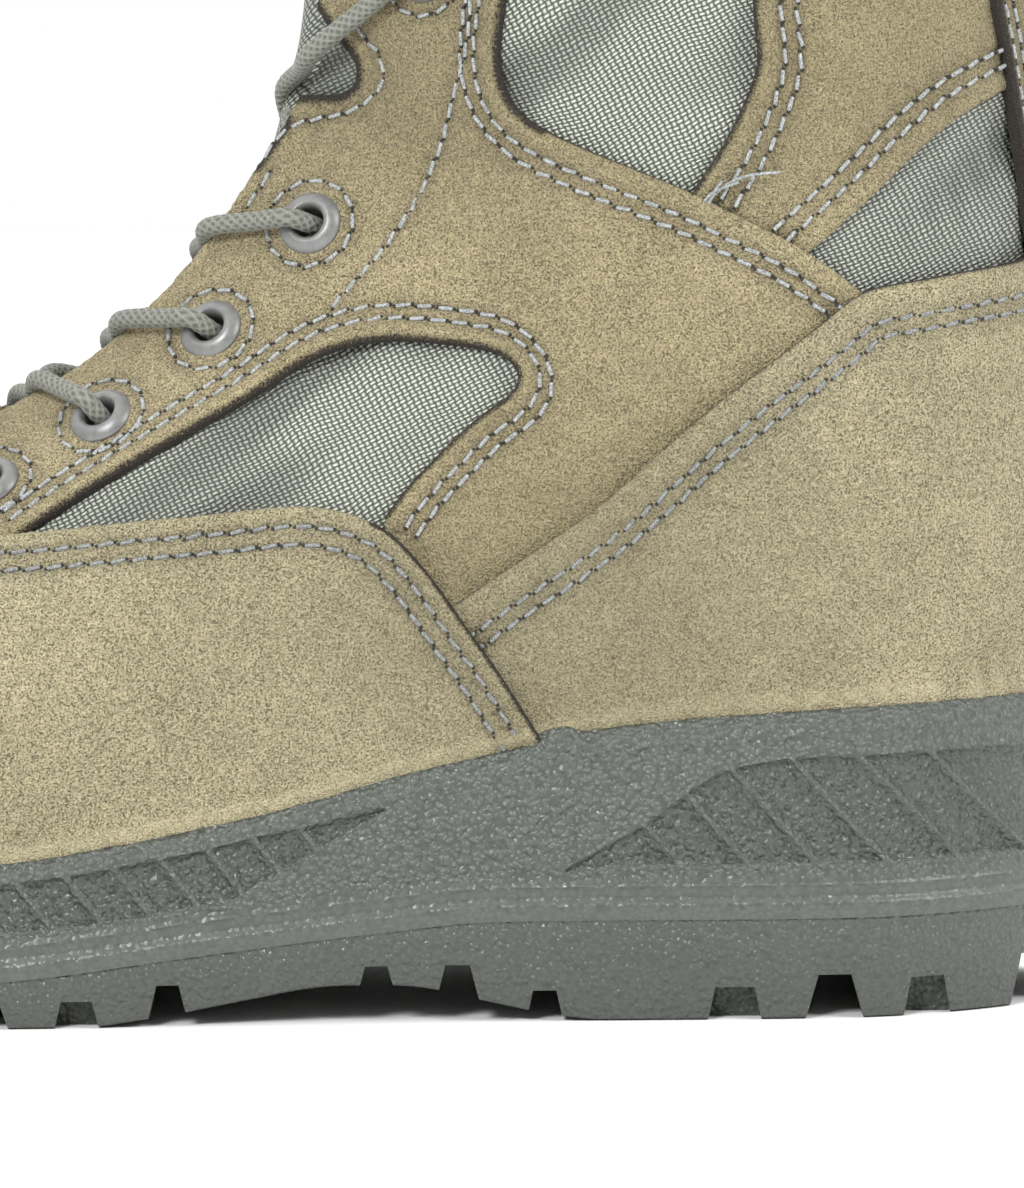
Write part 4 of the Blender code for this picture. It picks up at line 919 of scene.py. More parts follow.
# Darkness of the painted shade against the dark suede, paleness of the welt, and strength of the painted
# shade, with some dirt, along stitch grooves
SHADE_DARKENING, WELT_PALENESS, SEAM_SHADE_AND_DIRT = 0.9, 0.6, 0.30
# Painted shade: heights between which the leather gets darker and by how much, and the hollow under the
# ankle, which is painted darker as shade
SHAFT_SHADE = (126.0, 152.0, 0.0, 0.36)
SHADED_HOLLOW, HOLLOW_SHADE_FADE = tuple(metres([84.0, 42.0, 66.0]) / MM), (15.0, 60.0, 0.42, 0.0)


def times(colour, factor):
    """A colour made darker or lighter."""
    return tuple(factor * value for value in colour)


def suede(name, light, dark, edge=EDGE_STAIN_AND_SHADE):
    """Napped leather: crisp grain, dark pores, soft clouds, stained raw edges, and painted shade high on
    the shaft, in the hollow under the ankle, along stitch grooves and along edges.
    """
    look = Look(name, Roughness=0.95, Specular_IOR_Level=0.2, Sheen_Weight=0.05, Sheen_Roughness=0.6)
    grain = look.noise(*GRAIN)
    nap = look.times(look.range(grain, *GRAIN_SPAN), GRAIN_SHARE)
    for texture, share in ((MOTTLE, MOTTLE_SHARE), (CLOUD, CLOUD_SHARE)):
        nap = look.plus(nap, look.times(look.range(look.noise(*texture), *MIDDLE), share))
    colour = look.mix(nap, dark, light)
    colour = look.mix(look.range(look.noise(*PORES), *PORE_SPAN), colour, PORE_BROWN)
    height = look.put("ShaderNodeSeparateXYZ", {}, {0: look.place}).outputs[2]
    shade_colour = times(dark, SHADE_DARKENING)
    # Painted shade higher up the shaft
    colour = look.mix(look.range(height, *SHAFT_SHADE), colour, shade_colour)
    colour = look.mix(look.times(look.attribute("welt"), WELT_PALENESS), colour, light)
    # Painted shade, with some dirt, along the stitch grooves
    colour = look.mix(look.times(look.attribute("seam"), SEAM_SHADE_AND_DIRT), colour, edge)
    # Painted shade in the hollow under the ankle
    colour = look.mix(look.range(look.away(SHADED_HOLLOW), *HOLLOW_SHADE_FADE), colour, shade_colour)
    # The edges' own staining together with painted shadow along overlapping edges, hems and the foot of cut
    # walls
    speckled = look.plus(look.attribute("stain_and_shadow"), look.minus(grain, 0.5))
    colour = look.mix(look.range(speckled, *STAIN_SHADOW_SPAN), colour, edge)
    relief = look.bump(look.noise(*FUZZ), FUZZ_DEPTH, look.bump(grain, GRAIN_DEPTH))
    return look.done(colour, relief)


# Yarns: pitches, wandering, the whole number that keeps cells positive, and heights for the three tones:
# painted shade in the gaps, the yarn's own tone on its sides, painted highlight on its crests
YARN_PITCH, YARN_DEPTH, YARN_ROUNDNESS, YARN_DIP = (1.05, 0.70), 0.35, 1.7, (0.0, 1.0, 0.4, 1.0)
WEAVE_DRIFT, WEAVE_WANDER, EVEN_OFFSET, CROSS_HEIGHT = (0.07, 2.0, 0.5), 3.5, 4000.0, 0.8
YARN_GAP_SHADE_SPAN, YARN_CREST_HIGHLIGHT_SPAN, FOLD_SHADE = (0.05, 0.45), (0.50, 0.90), (0.1, 1.1, 0.0, 0.38)


def woven(name, across, up, turn, tones, inner=None, shades=()):
    """Plain weave of thin, shiny yarns, with painted highlight on their crests and painted shade in their
    gaps, in shaded places and in folds; the two axes are those of the cloth's own plane.
    """
    light, middle, dark = tones
    look = Look(name, Roughness=0.42, Specular_IOR_Level=0.5)
    spread = look.times(look.minus(look.noise(*WEAVE_DRIFT), 0.5), WEAVE_WANDER)
    split = look.put("ShaderNodeSeparateXYZ", {}, {0: look.place})
    a, b = split.outputs[across], look.plus(split.outputs[up], spread)
    cos, sin = math.cos(turn), math.sin(turn)
    u = look.plus(look.times(a, cos), look.times(b, sin))
    v = look.minus(look.times(b, cos), look.times(a, sin))
    u, v = look.math("DIVIDE", u, YARN_PITCH[0]), look.math("DIVIDE", v, YARN_PITCH[1])
    cell = look.plus(look.math("FLOOR", u), look.math("FLOOR", v))
    over = look.math("MODULO", look.plus(cell, EVEN_OFFSET), 2.0)
    over = look.math("GREATER_THAN", over, 0.5)
    round_u = look.math("SINE", look.times(look.math("FRACT", u), math.pi))
    round_v = look.math("SINE", look.times(look.math("FRACT", v), math.pi))
    along = look.times(look.math("POWER", round_v, YARN_ROUNDNESS), look.range(round_u, *YARN_DIP))
    cross = look.times(look.math("POWER", round_u, YARN_ROUNDNESS), look.range(round_v, *YARN_DIP))
    under = look.times(look.minus(1.0, over), CROSS_HEIGHT)
    height = look.plus(look.times(along, over), look.times(cross, under))
    # Painted shade in the gaps between yarns and painted highlight on their crests
    colour = look.mix(look.range(height, *YARN_GAP_SHADE_SPAN), dark, middle)
    colour = look.mix(look.range(height, *YARN_CREST_HIGHLIGHT_SPAN), colour, light)
    for spot, near, far, most in shades:
        colour = look.mix(look.range(look.away(spot), near, far, most, 0.0), colour, dark)
    if inner:
        colour = look.mix(look.range(look.attribute("folded"), *FOLD_SHADE), colour, dark)
        colour = look.mix(look.attribute("lining"), colour, inner)
    return look.done(colour, look.bump(height, YARN_DEPTH))


# Sizes are in points for a millimetre, depths in millimetres, the others are shares
PEBBLE_DRIFT, PEBBLES, PEBBLE_GAP, CRUMBS, CRUMB_DEPTH = 0.5, 1.05, (0.25, 0.7), 1.0, 0.8
SKIN, SKIN_DEPTH, SOLE_GLOSS = (0.8, 3.0, 0.6), 0.10, (0.26, 0.44)
SOLE_PATCHES, PATCH_SHARE, PATCH_TONE, POCKET_SHADE = (0.06, 3.0), 0.4, 1.2, 0.55
BAND_SHARE, BAND_TONE, BAND_SMOOTH = 0.4, 1.05, 0.8


def moulded(name, tone, recess_shade_tone, pebbles):
    """Moulded sole: pebbled skin with wet-looking highlights and painted shade in its gaps, crumbs in the
    pockets, which are painted darker as shade, and a plain band; pebbles is how deep the skin is and how
    strong the shade in its gaps.
    """
    look = Look(name, Roughness=0.35, Specular_IOR_Level=0.6)
    drift = look.put("ShaderNodeTexNoise", {}, {"Vector": look.place, "Scale": PEBBLE_DRIFT}).outputs[1]
    spot = look.put("ShaderNodeVectorMath", {"operation": "ADD"}, {0: look.place, 1: drift}).outputs[0]
    pebble, crumb = look.cells(PEBBLES, spot), look.cells(CRUMBS, spot)
    rough = look.noise(*SKIN)
    pocket = look.attribute("pocket")
    band = look.attribute("band")
    patches = look.range(look.noise(*SOLE_PATCHES), *MIDDLE, 0.0, PATCH_SHARE)
    colour = look.mix(patches, tone, times(tone, PATCH_TONE))
    # Painted shade in the gaps between the pebbles and in the pockets
    colour = look.mix(look.times(look.range(pebble, *PEBBLE_GAP), pebbles), colour, recess_shade_tone)
    colour = look.mix(look.times(pocket, POCKET_SHADE), colour, recess_shade_tone)
    colour = look.mix(look.times(band, BAND_SHARE), colour, times(tone, BAND_TONE))
    flat = look.minus(look.minus(1.0, pocket), look.times(band, BAND_SMOOTH))
    relief = look.bump(look.times(look.minus(1.0, pebble), flat), pebbles)
    relief = look.bump(look.times(look.minus(1.0, crumb), pocket), CRUMB_DEPTH, relief)
    relief = look.bump(rough, SKIN_DEPTH, relief)
    return look.done(colour, relief, look.range(rough, *MIDDLE, *SOLE_GLOSS))


LACE_GAP_SHADE, LACE_LIGHT, LACE_DIRT = (0.100, 0.104, 0.089), (0.250, 0.257, 0.220), (0.125, 0.130, 0.112)
LACE_FIBRE, LACE_DIRT_SPAN, LACE_FIBRE_DEPTH = (2.6, 3.0, 0.7), (0.45, 0.7, 0.0, 0.55), 0.10
THREAD_DARK, THREAD_LIGHT, NEEDLE_HOLE_SHADE = (0.14, 0.15, 0.147), (0.44, 0.46, 0.46), (0.020, 0.018, 0.014)
TWIST, TWIST_SPAN, TWIST_DEPTH = (3.2, 2.0, 0.6), (0.35, 0.65), 0.08
PAINT_DARK, PAINT_LIGHT, PAINT_GLOSS = (0.18, 0.18, 0.178), (0.235, 0.235, 0.232), (0.34, 0.48)
SCUFF, SCUFF_SPAN, PAINT_GRAIN, PAINT_DEPTH = (0.6, 4.0, 0.7), (0.35, 0.7), (2.0, 3.0), 0.02
FOOTBED_DARK, FOOTBED_LIGHT = (0.05, 0.052, 0.045), (0.11, 0.112, 0.10)
FOOTBED_GRAIN, FOOTBED_DEPTH = (1.2, 3.0, 0.7), 0.2


def braid():
    """Braided lace, painted dark as shade between its strands, and dirty in patches."""
    look = Look("lace_braid", Roughness=0.75, Specular_IOR_Level=0.3, Sheen_Weight=0.1)
    fibre = look.noise(*LACE_FIBRE)
    # Painted shade between the strands
    colour = look.mix(look.attribute("strand"), LACE_GAP_SHADE, LACE_LIGHT)
    colour = look.mix(look.range(fibre, *LACE_DIRT_SPAN), colour, LACE_DIRT)
    return look.done(colour, look.bump(fibre, LACE_FIBRE_DEPTH))


def thread():
    """Sewing thread, painted dark as shade where it dives into the needle holes, and darker along the rows
    on the vamp and counter.
    """
    look = Look("thread", Roughness=0.5, Specular_IOR_Level=0.4)
    twist = look.noise(*TWIST)
    colour = look.mix(look.range(twist, *TWIST_SPAN), THREAD_DARK, THREAD_LIGHT)
    # Painted shade where the thread dives into the needle holes
    colour = look.mix(look.attribute("tip"), colour, NEEDLE_HOLE_SHADE)
    return look.done(colour, look.bump(twist, TWIST_DEPTH))


def eyelet_paint():
    """Painted metal, a little scuffed."""
    look = Look("eyelet_grey", Roughness=0.40, Specular_IOR_Level=0.5, Metallic=0.45)
    scuff = look.noise(*SCUFF)
    colour = look.mix(look.range(scuff, *SCUFF_SPAN), PAINT_DARK, PAINT_LIGHT)
    relief = look.bump(look.noise(*PAINT_GRAIN), PAINT_DEPTH)
    return look.done(colour, relief, look.range(scuff, *MIDDLE, *PAINT_GLOSS))


def footbed():
    """Dark felted cover of the insole."""
    look = Look("footbed", Roughness=0.9, Specular_IOR_Level=0.2)
    grain = look.noise(*FOOTBED_GRAIN)
    colour = look.mix(look.range(grain, *MIDDLE), FOOTBED_DARK, FOOTBED_LIGHT)
    return look.done(colour, look.bump(grain, FOOTBED_DEPTH))


# Colours are linear: light and dark suede, then yarn crests with painted highlight, sides, and gaps with
# painted shade, then skin of the sole and painted shade for its gaps
SUEDE_GREEN = suede("suede_sage", (0.58, 0.517, 0.328), (0.20, 0.178, 0.106))
SUEDE_TAN = suede("suede_tan", (0.555, 0.474, 0.282), (0.181, 0.154, 0.085))
NYLON_TONES = ((0.68, 0.71, 0.62), (0.31, 0.33, 0.28), (0.034, 0.038, 0.029))
NYLON_LINING = (0.13, 0.135, 0.115)
# Places where the nylon lies in shade, with the distances between which that fades and how dark it is
NYLON_SHADES = (
    (tuple(metres([21.6, 30.0, 136.0]) / MM), 8.0, 45.0, 0.30),
    (tuple(metres([133.0, 18.0, 158.0]) / MM), 14.0, 28.0, 0.6),
)
SIDE_BIAS, FRONT_BIAS = math.radians(-27), math.radians(45)
NYLON_SIDE = woven("nylon_side", 0, 2, SIDE_BIAS, NYLON_TONES, NYLON_LINING, NYLON_SHADES)
TONGUE_TONES = ((0.46, 0.48, 0.42), (0.20, 0.215, 0.18), (0.026, 0.028, 0.022))
NYLON_FRONT = woven("nylon_front", 1, 2, FRONT_BIAS, TONGUE_TONES)
SOLE_RECESS_SHADE = (0.046, 0.051, 0.044)
MIDSOLE_LOOK = moulded("midsole_side", (0.092, 0.103, 0.089), SOLE_RECESS_SHADE, 0.7)
OUTSOLE_LOOK = moulded("outsole_rubber", (0.077, 0.086, 0.074), SOLE_RECESS_SHADE, 0.5)
LACE_LOOK = braid()
THREAD_LOOK = thread()
EYELET_LOOK = eyelet_paint()

# Points of long and short lines on the form, and how deep the rim hides the lower edge of a panel
LINE_STEPS, NOSE_STEPS, FEATHER_STEPS = 60, 24, 160
UNDER_RIM = 2.0
# Rows of stitches: distance from the edge, and for the vamp how far they stand out
VAMP_STITCHES, COUNTER_STITCHES = ((3.3, 0.24), (6.3, 0.0)), (5.5, 8.0)
WINDOW_STITCHES, ARM_STITCHES, FACING_STITCHES = (3.7, 5.9), (4.2, 6.6), 3.2
STRAP_FRONT_STITCHES, STRAP_BACK_STITCHES, STAY_STITCHES = (4.5, 7.1), (4.1, 6.9), (2.2, 4.4)
BAND_STITCHES, CROWN_STITCHES = (2.6, 5.0), 3.0
# Rows of the facing between which it is stitched along the throat
FACING_SPAN = (10.2, 11.0)
OFF_RIDGE = 0.02
# Where panels end on the ridge, as s, and on the back seam, as z
VAMP_RIDGE_S, QUARTER_RIDGE_S = VAMP_TONGUE[0][0], UNDER_VAMP[-1][0]
COUNTER_BACK, STAY_BACK, BAND_BACK = (128.0, 50.0), (122.0, 208.0), 205.0
QUARTER_TOP_ROW = 18.5
# Shares of the vamp's and the arm's edge at which their kind changes
VAMP_CORNER, ARM_CORNER = 2 / 3, 9 / 16
THROAT_FIRST_ROW = 6
# Undersides of the panels over the form
SOLE_PANEL_BASE, QUARTER_BASE, SHAFT_BASE = -0.1, 0.1, 0.0
STITCH_RING, EYELET_HOLE, RING_STEPS = 7.6, 3.2, 61


def rim_row(first, last, side):
    """Places just under the sole's rim, which hides the lower edge of a panel."""
    s = np.linspace(first, last, LINE_STEPS)
    return FORMS[side].find(np.stack([s, sole_height(RIM, s) - UNDER_RIM], axis=1))


def throat_edge(side, last_row=COLLAR_ROW):
    """Edge of the throat: straight sides with a round end towards the toe."""
    form, places = FORMS[side], []
    half, end = THROAT_HALF_WIDTH, THROAT_END_S - THROAT_HALF_WIDTH
    for k in range(THROAT_FIRST_ROW * ROWS_PER_SECTION, int(round(last_row / ROW_STEP)) + 1):
        line = form.points[k]
        past = np.clip(line[:, 0] - end, 0.0, half)
        away = line[:, 1] * side - np.sqrt(half**2 - past**2)
        if away[0] >= 0:
            continue
        j = int(np.argmax(away > 0))
        share = away[j - 1] / (away[j - 1] - away[j])
        places.append((ROWS[k], SHARES[j - 1] + share * SHARES[1]))
    places = np.array(places)
    count = HEEL_BACK_ROW * ROWS_PER_SECTION
    start = np.interp(-THROAT_END_S, -TABLE["front_s"][:count], ROWS[:count])
    return np.vstack([[(start, 0.0)], places])


def ridge_line(first, last):
    """Places on the ridge between two rows."""
    return straight((first, 0.0), (last, 0.0), max(int(abs(last - first) / ROW_STEP), 2))


def ridge_row(s):
    """The row whose ridge point is at s, in front of the throat."""
    count = INSTEP_ROW * ROWS_PER_SECTION
    return float(np.interp(-s, -TABLE["front_s"][:count], ROWS[:count]))


def seam_line(first, last, steps=LINE_STEPS):
    """Places on the back seam between two rows, or on the feather, which is its end below the heel."""
    return straight((first, 1.0), (last, 1.0), steps)


def seam_row(z):
    """The row whose point on the back seam is at height z."""
    start = HEEL_BACK_ROW * ROWS_PER_SECTION
    return float(np.interp(z, TABLE["back_z"][start:], ROWS[start:]))


def on_form(side, points):
    """A smooth line on the upper through points in side view."""
    return FORMS[side].find(curve(points, EDGE_STEP))


STITCHES = {1: [], -1: []}


def stitched(side, line, height):
    """Remember a row of stitches and hand the line back, for the groove under it."""
    STITCHES[side].append((np.asarray(line), height))
    return line


def make_vamp():
    """Suede round the toe, over the front of the quarters."""
    halves = []
    top = HEIGHTS["vamp_panel"]
    ridge = ridge_row(VAMP_RIDGE_S)
    for side, form in FORMS.items():
        edge = on_form(side, VAMP_TONGUE + VAMP_EDGE)
        edge[0] = (ridge, 0.0)
        rows = [(form.aside(edge, distance), top + rise) for distance, rise in VAMP_STITCHES]
        rows = [stitched(side, row[row[:, 1] > OFF_RIDGE], height) for row, height in rows]
        end_s = form.at(edge[-1:])[0][0]
        low = rim_row(end_s, TOE_S, side)
        low[0] = edge[-1]
        low[-1] = (0.0, low[-1][1])
        nose = straight((0.0, low[-1][1]), (0.0, 0.0), NOSE_STEPS)
        corner = int(len(edge) * VAMP_CORNER)
        outline = [
            (edge[:corner + 1], "cut"), (edge[corner:], "raw"), (low, "welt"), (nose, "seam"),
            (ridge_line(0.0, ridge), "seam"),
        ]
        halves.append(Half(form, outline, rows=rows))
    panel("vamp_panel", halves, top, SOLE_PANEL_BASE, SUEDE_GREEN, flare=VAMP_FLARE)


def make_counter():
    """Suede round the heel, over the lower back of the quarters."""
    halves = []
    top = HEIGHTS["heel_counter"]
    back_top, back_low = (seam_row(z) for z in COUNTER_BACK)
    for side, form in FORMS.items():
        edge = on_form(side, COUNTER_EDGE + [COUNTER_END])
        edge[-1] = (back_top, 1.0)
        rows = [stitched(side, form.aside(edge, distance), top) for distance in COUNTER_STITCHES]
        low = rim_row(*COUNTER_RIM_SPAN, side)
        low[0] = (back_low, 1.0)
        front = np.vstack([low[-1:], on_form(side, COUNTER_FRONT), edge[:1]])
        outline = [
            (edge, "cut"), (seam_line(back_top, back_low), "seam"), (low, "welt"), (front, "tucked"),
        ]
        halves.append(Half(form, outline, rows=rows, over=[on_form(side, VAMP_EDGE)]))
    panel("heel_counter", halves, top, SOLE_PANEL_BASE, SUEDE_GREEN, flare=COUNTER_FLARE)


def make_quarter(side):
    """Suede with the facing, the window, the notch and the arm back to the heel."""
    form, top = FORMS[side], HEIGHTS["quarter"]
    arm = on_form(side, ARM_EDGE)
    corner = int(len(arm) * ARM_CORNER)
    under_counter = np.vstack([arm[-1:], on_form(side, UNDER_COUNTER)])
    under_vamp = on_form(side, UNDER_VAMP)
    ridge = ridge_row(QUARTER_RIDGE_S)
    under_vamp[-1] = (ridge, 0.0)
    throat = throat_edge(side, QUARTER_TOP_ROW)
    frayed = np.searchsorted(throat[:, 0], FRAYED_ROWS)
    head = np.vstack([throat[-1:], on_form(side, QUARTER_HEAD)])
    head[-1] = arm[0]
    window = on_form(side, WINDOW_EDGE)
    hidden = np.vstack([window[-1:], on_form(side, WINDOW_UNDER_VAMP), window[:1]])
    notch = on_form(side, NOTCH_EDGE)
    rows = [form.aside(window, -distance) for distance in WINDOW_STITCHES]
    rows += [form.aside(arm, distance) for distance in ARM_STITCHES]
    rows += [on_form(side, STAY_ROW), on_form(side, NOTCH_ROW)]
    facing = throat[(throat[:, 0] > FACING_SPAN[0]) & (throat[:, 0] < FACING_SPAN[1])]
    rows.append(form.aside(facing, FACING_STITCHES))
    rows += [eyelet_ring(side, place, STITCH_RING) for place in EYELETS[:-1]]
    rows = [stitched(side, row, top) for row in rows]
    outline = [
        (arm[:corner + 1], "hem"), (arm[corner:], "cut"), (under_counter, "tucked"),
        (np.vstack([under_counter[-1:], under_vamp]), "tucked"),
        (ridge_line(ridge, throat[0][0]), "tucked"), (throat[:frayed[0] + 1], "cut"),
        (throat[frayed[0]:frayed[1] + 1], "dark"), (throat[frayed[1]:], "cut"), (head, "tucked"),
    ]
    over = [on_form(side, VAMP_EDGE), on_form(side, COUNTER_EDGE)]
    notch_end = np.array([notch[-1], notch[0]])
    holes = [[(window, "hem"), (hidden, "tucked")], [(notch, "dark"), (notch_end, "tucked")]]
    holes += eyelet_holes(side, EYELETS)
    half = Half(form, outline, holes, rows, over)
    panel(f"quarter_{WORDS[side]}", [half], top, QUARTER_BASE, SUEDE_TAN)


def eyelet_ring(side, place, radius):
    """Circle round an eyelet: a row of stitches or the hole that it sits in."""
    form = FORMS[side]
    centre = form.find([place])
    spot, normal = form.at(centre)[0], form.normal(centre)[0]
    first = unit(np.cross(normal, (0.0, 1.0, 0.0)))
    second = np.cross(normal, first)
    turn = np.linspace(0, 2 * math.pi, RING_STEPS)
    return form.find(circle(spot, first, second, radius, turn)[:, [0, 2]])


def eyelet_holes(side, places):
    """Holes of a panel under its eyelets."""
    return [[(eyelet_ring(side, place, EYELET_HOLE), "tucked")] for place in places]


def make_strap(side):
    """Suede at the back of the shaft, between the arm and the backstay."""
    form, top = FORMS[side], HEIGHTS["shaft_panel"]
    front = on_form(side, STRAP_FRONT)
    back = on_form(side, STRAP_BACK)
    low = np.vstack([back[:1], on_form(side, STRAP_LOW), front[:1]])
    rear = np.vstack([back[-1:], on_form(side, STRAP_REAR)])
    head = np.vstack([front[-1:], rear[-1:]])
    rows = [form.aside(front, distance) for distance in STRAP_FRONT_STITCHES]
    rows += [form.aside(back, -distance) for distance in STRAP_BACK_STITCHES]
    rows = [stitched(side, row, top) for row in rows]
    outline = [
        (front, "hem"), (head, "tucked"), (rear[::-1], "tucked"), (back[::-1], "cut"), (low, "tucked"),
    ]
    over = [on_form(side, ARM_EDGE), on_form(side, BACKSTAY_EDGE)]
    half = Half(form, outline, rows=rows, over=over)
    panel(f"shaft_panel_{WORDS[side]}", [half], top, SHAFT_BASE, SUEDE_TAN)


def make_backstay():
    """Suede strip over the back seam."""
    halves, top = [], HEIGHTS["backstay"]
    low_row, high_row = (seam_row(z) for z in STAY_BACK)
    for side, form in FORMS.items():
        edge = on_form(side, BACKSTAY_EDGE)
        low = np.vstack([[(low_row, 1.0)], edge[:1]])
        head = np.vstack([edge[-1:], [(high_row, 1.0)]])
        rows = [stitched(side, form.aside(edge, distance), top) for distance in STAY_STITCHES]
        outline = [
            (edge, "dark"), (head, "tucked"), (seam_line(high_row, low_row), "seam"), (low, "tucked"),
        ]
        halves.append(Half(form, outline, rows=rows))
    panel("backstay", halves, top, SHAFT_BASE, SUEDE_TAN)


def make_collar():
    """Suede band round the top of the shaft."""
    halves, top = [], HEIGHTS["collar_band"]
    low_row = seam_row(BAND_BACK)
    for side, form in FORMS.items():
        edge = on_form(side, BAND_EDGE)
        edge[-1] = (low_row, 1.0)
        throat = throat_edge(side)
        throat = throat[throat[:, 0] > edge[0][0] + OFF_RIDGE]
        edge = np.vstack([throat[:1], edge[1:]])
        crown = straight((COLLAR_ROW, throat[-1][1]), (COLLAR_ROW, 1.0), LINE_STEPS)
        rows = [form.aside(edge, -distance) for distance in BAND_STITCHES]
        rows += [form.aside(crown, CROWN_STITCHES), eyelet_ring(side, EYELETS[-1], STITCH_RING)]
        rows = [stitched(side, row, top) for row in rows]
        outline = [
            (edge, "cut"), (seam_line(low_row, COLLAR_ROW), "seam"), (crown[::-1], "cut"),
            (throat[::-1], "cut"),
        ]
        halves.append(Half(form, outline, eyelet_holes(side, EYELETS[-1:]), rows))
    panel("collar_band", halves, top, SHAFT_BASE, SUEDE_TAN)


def make_upper():
    """Woven nylon wall of the upper, seen in the windows and inside."""
    halves = []
    for side, form in FORMS.items():
        throat = throat_edge(side)
        crown = straight((COLLAR_ROW, throat[-1][1]), (COLLAR_ROW, 1.0), LINE_STEPS)
        nose = straight((0.0, 1.0), (0.0, 0.0), NOSE_STEPS)
        outline = [
            (throat, "cut"), (crown, "tucked"), (seam_line(COLLAR_ROW, HEEL_BACK_ROW), "seam"),
            (seam_line(HEEL_BACK_ROW, 0.0, FEATHER_STEPS), "tucked"), (nose, "seam"),
            (ridge_line(0.0, throat[0][0]), "seam"),
        ]
        halves.append(Half(form, outline, eyelet_holes(side, EYELETS), step=UPPER_LATTICE_STEP))
    panel("upper", halves, 0.0, -WALL, NYLON_SIDE, puff=CLOTH_PUFF, creased=True)


# Moulded sole: rows of the upper and shares of the heel at which its outline is taken
OUTLINE_ROWS = (
    0.4, 1.0, 1.7, 2.4, 3.2, 4.0, 4.8, 5.5, 6.3, 7.2, 8.1, 9.0, 9.8, 10.6, 11.4, 12.0, 12.5, 13.0,
)
HEEL_SHARES = (0.1, 0.36, 0.6, 0.8, 0.95)
# How far it stands out from the upper in plan, at each level of its side
RIM_REACH, SHOULDER_REACH, SIDE_REACH, BAND_REACH = 3.1, 4.4, 5.2, 6.1
TREAD_TOP_REACH, TREAD_REACH = 5.6, 4.8
BAND_HEIGHT = 3.2
LIP_HEIGHT = 3.0
RECESS_DEPTH = 0.95
RECESS_DRAFT = 0.6
# Recessed panels of the side as (s, z), and the slanting bars across them
FRONT_RECESS_TOP = (
    (232.0, 21.0), (215.0, 22.0), (200.0, 22.6), (182.5, 24.2), (168.7, 25.8), (159.8, 27.5),
    (150.7, 29.0), (141.5, 31.4), (132.0, 33.2), (117.7, 36.4),
)
FRONT_RECESS_BOTTOM = (
    (117.7, 36.0), (130.0, 29.0), (136.4, 25.2), (143.8, 20.9), (153.5, 19.2), (162.0, 17.7),
    (173.7, 16.3), (182.5, 15.9), (200.0, 15.6), (215.0, 16.0), (232.0, 19.6),
)
REAR_RECESS_TOP = (
    (3.0, 45.0), (12.0, 45.0), (33.0, 44.4), (52.5, 43.9), (59.5, 42.8), (63.2, 41.5),
    (67.6, 38.8), (74.8, 33.3), (82.0, 29.3), (89.5, 25.2),
)
REAR_RECESS_BOTTOM = ((89.5, 24.8), (80.0, 26.0), (60.0, 26.0), (33.0, 26.2), (3.0, 26.6))
FRONT_BARS = {"start_s": 122.8, "spacing": 8.9, "count": 12, "lean": 0.78, "at_z": 20.0}
REAR_BARS = {"start_s": 12.8, "spacing": 11.3, "count": 6, "lean": 0.88, "at_z": 26.0}
BAR_WIDTH = 0.7
# Tread: grooves as (back, front, lean, depth), pockets as (back, front, roof)
GROOVES = (
    (5.0, 12.5, 1.6, 7.5), (38.5, 48.0, 2.0, 7.5), (89.0, 94.5, 0.8, 4.0), (102.0, 110.5, 2.2, 5.2),
    (115.5, 124.0, 2.4, 3.4), (151.0, 157.5, 1.4, 5.2), (180.5, 188.5, 1.6, 5.0),
    (210.0, 217.0, 1.6, 4.6), (236.0, 243.0, 1.6, 4.8), (261.0, 267.5, 1.5, 5.0),
    (282.0, 287.5, 1.2, 4.6),
)
LUG_POCKETS = ((23.5, 31.5, 6.6), (55.5, 64.5, 5.6), (165.5, 173.0, 4.6), (194.0, 203.0, 4.6))
POCKET_LEAN = 1.2
POCKET_REACH = 5.0
# Channels along the middle as (back, front, depth, middle y)
CHANNELS = ((16.0, 78.0, 4.5, 0.0), (170.0, 258.0, 4.0, -2.0))
CHANNEL_HALF_WIDTH = 4.0
# How the cutters of the tread open downwards and how far they reach
GROOVE_FLARE, POCKET_FLARE = 1.0, 0.4
GROOVE_FOOT, CUTTER_FOOT = -3.0, -2.0
GROOVE_FAR, POCKET_FAR = 90, 20
# The tread's side: reach and height over its underside, then over its top, which is let into the midsole
TREAD_FOOT = ((TREAD_REACH - 1.3, 0.0), (TREAD_REACH - 0.4, 0.35), (TREAD_REACH, 1.2))
TREAD_HEAD = ((TREAD_TOP_REACH, -1.4), (TREAD_TOP_REACH, 0.0))
TREAD_OVERLAP = 0.9
TREAD_BEVEL, BEVEL_STEPS, BEVEL_FROM, TREAD_SHARP = 0.45, 2, 35, 50
TREAD_WELD, TREAD_FLAT = 2e-6, 1.0
# Points of the rim's search, of its wrapped ends, and of a half outline of each piece
RIM_SAMPLES, WRAP, CUP_COUNT, TREAD_COUNT = 400, 5, 330, 150
# Samples of a recess: beyond its ends, their spacing, the thinnest one and the fewest
BAR_BEYOND, BAR_SAMPLE, THINNEST_RECESS, FEWEST_SAMPLES = 40, 0.25, 0.15, 5
# Profile of the cup's side: rounding of the lip, edges of the band, a bead over it and one under the lip
LIP_POWER = 2.2
BAND_LEAD, BAND_RISE, BAND_FALL = 0.3, 0.4, 0.6
BEAD, BEAD_ABOVE, LIP_BEAD, LIP_BEAD_BELOW, BEAD_WIDTH = 0.50, 2.6, 0.20, 0.6, 0.45
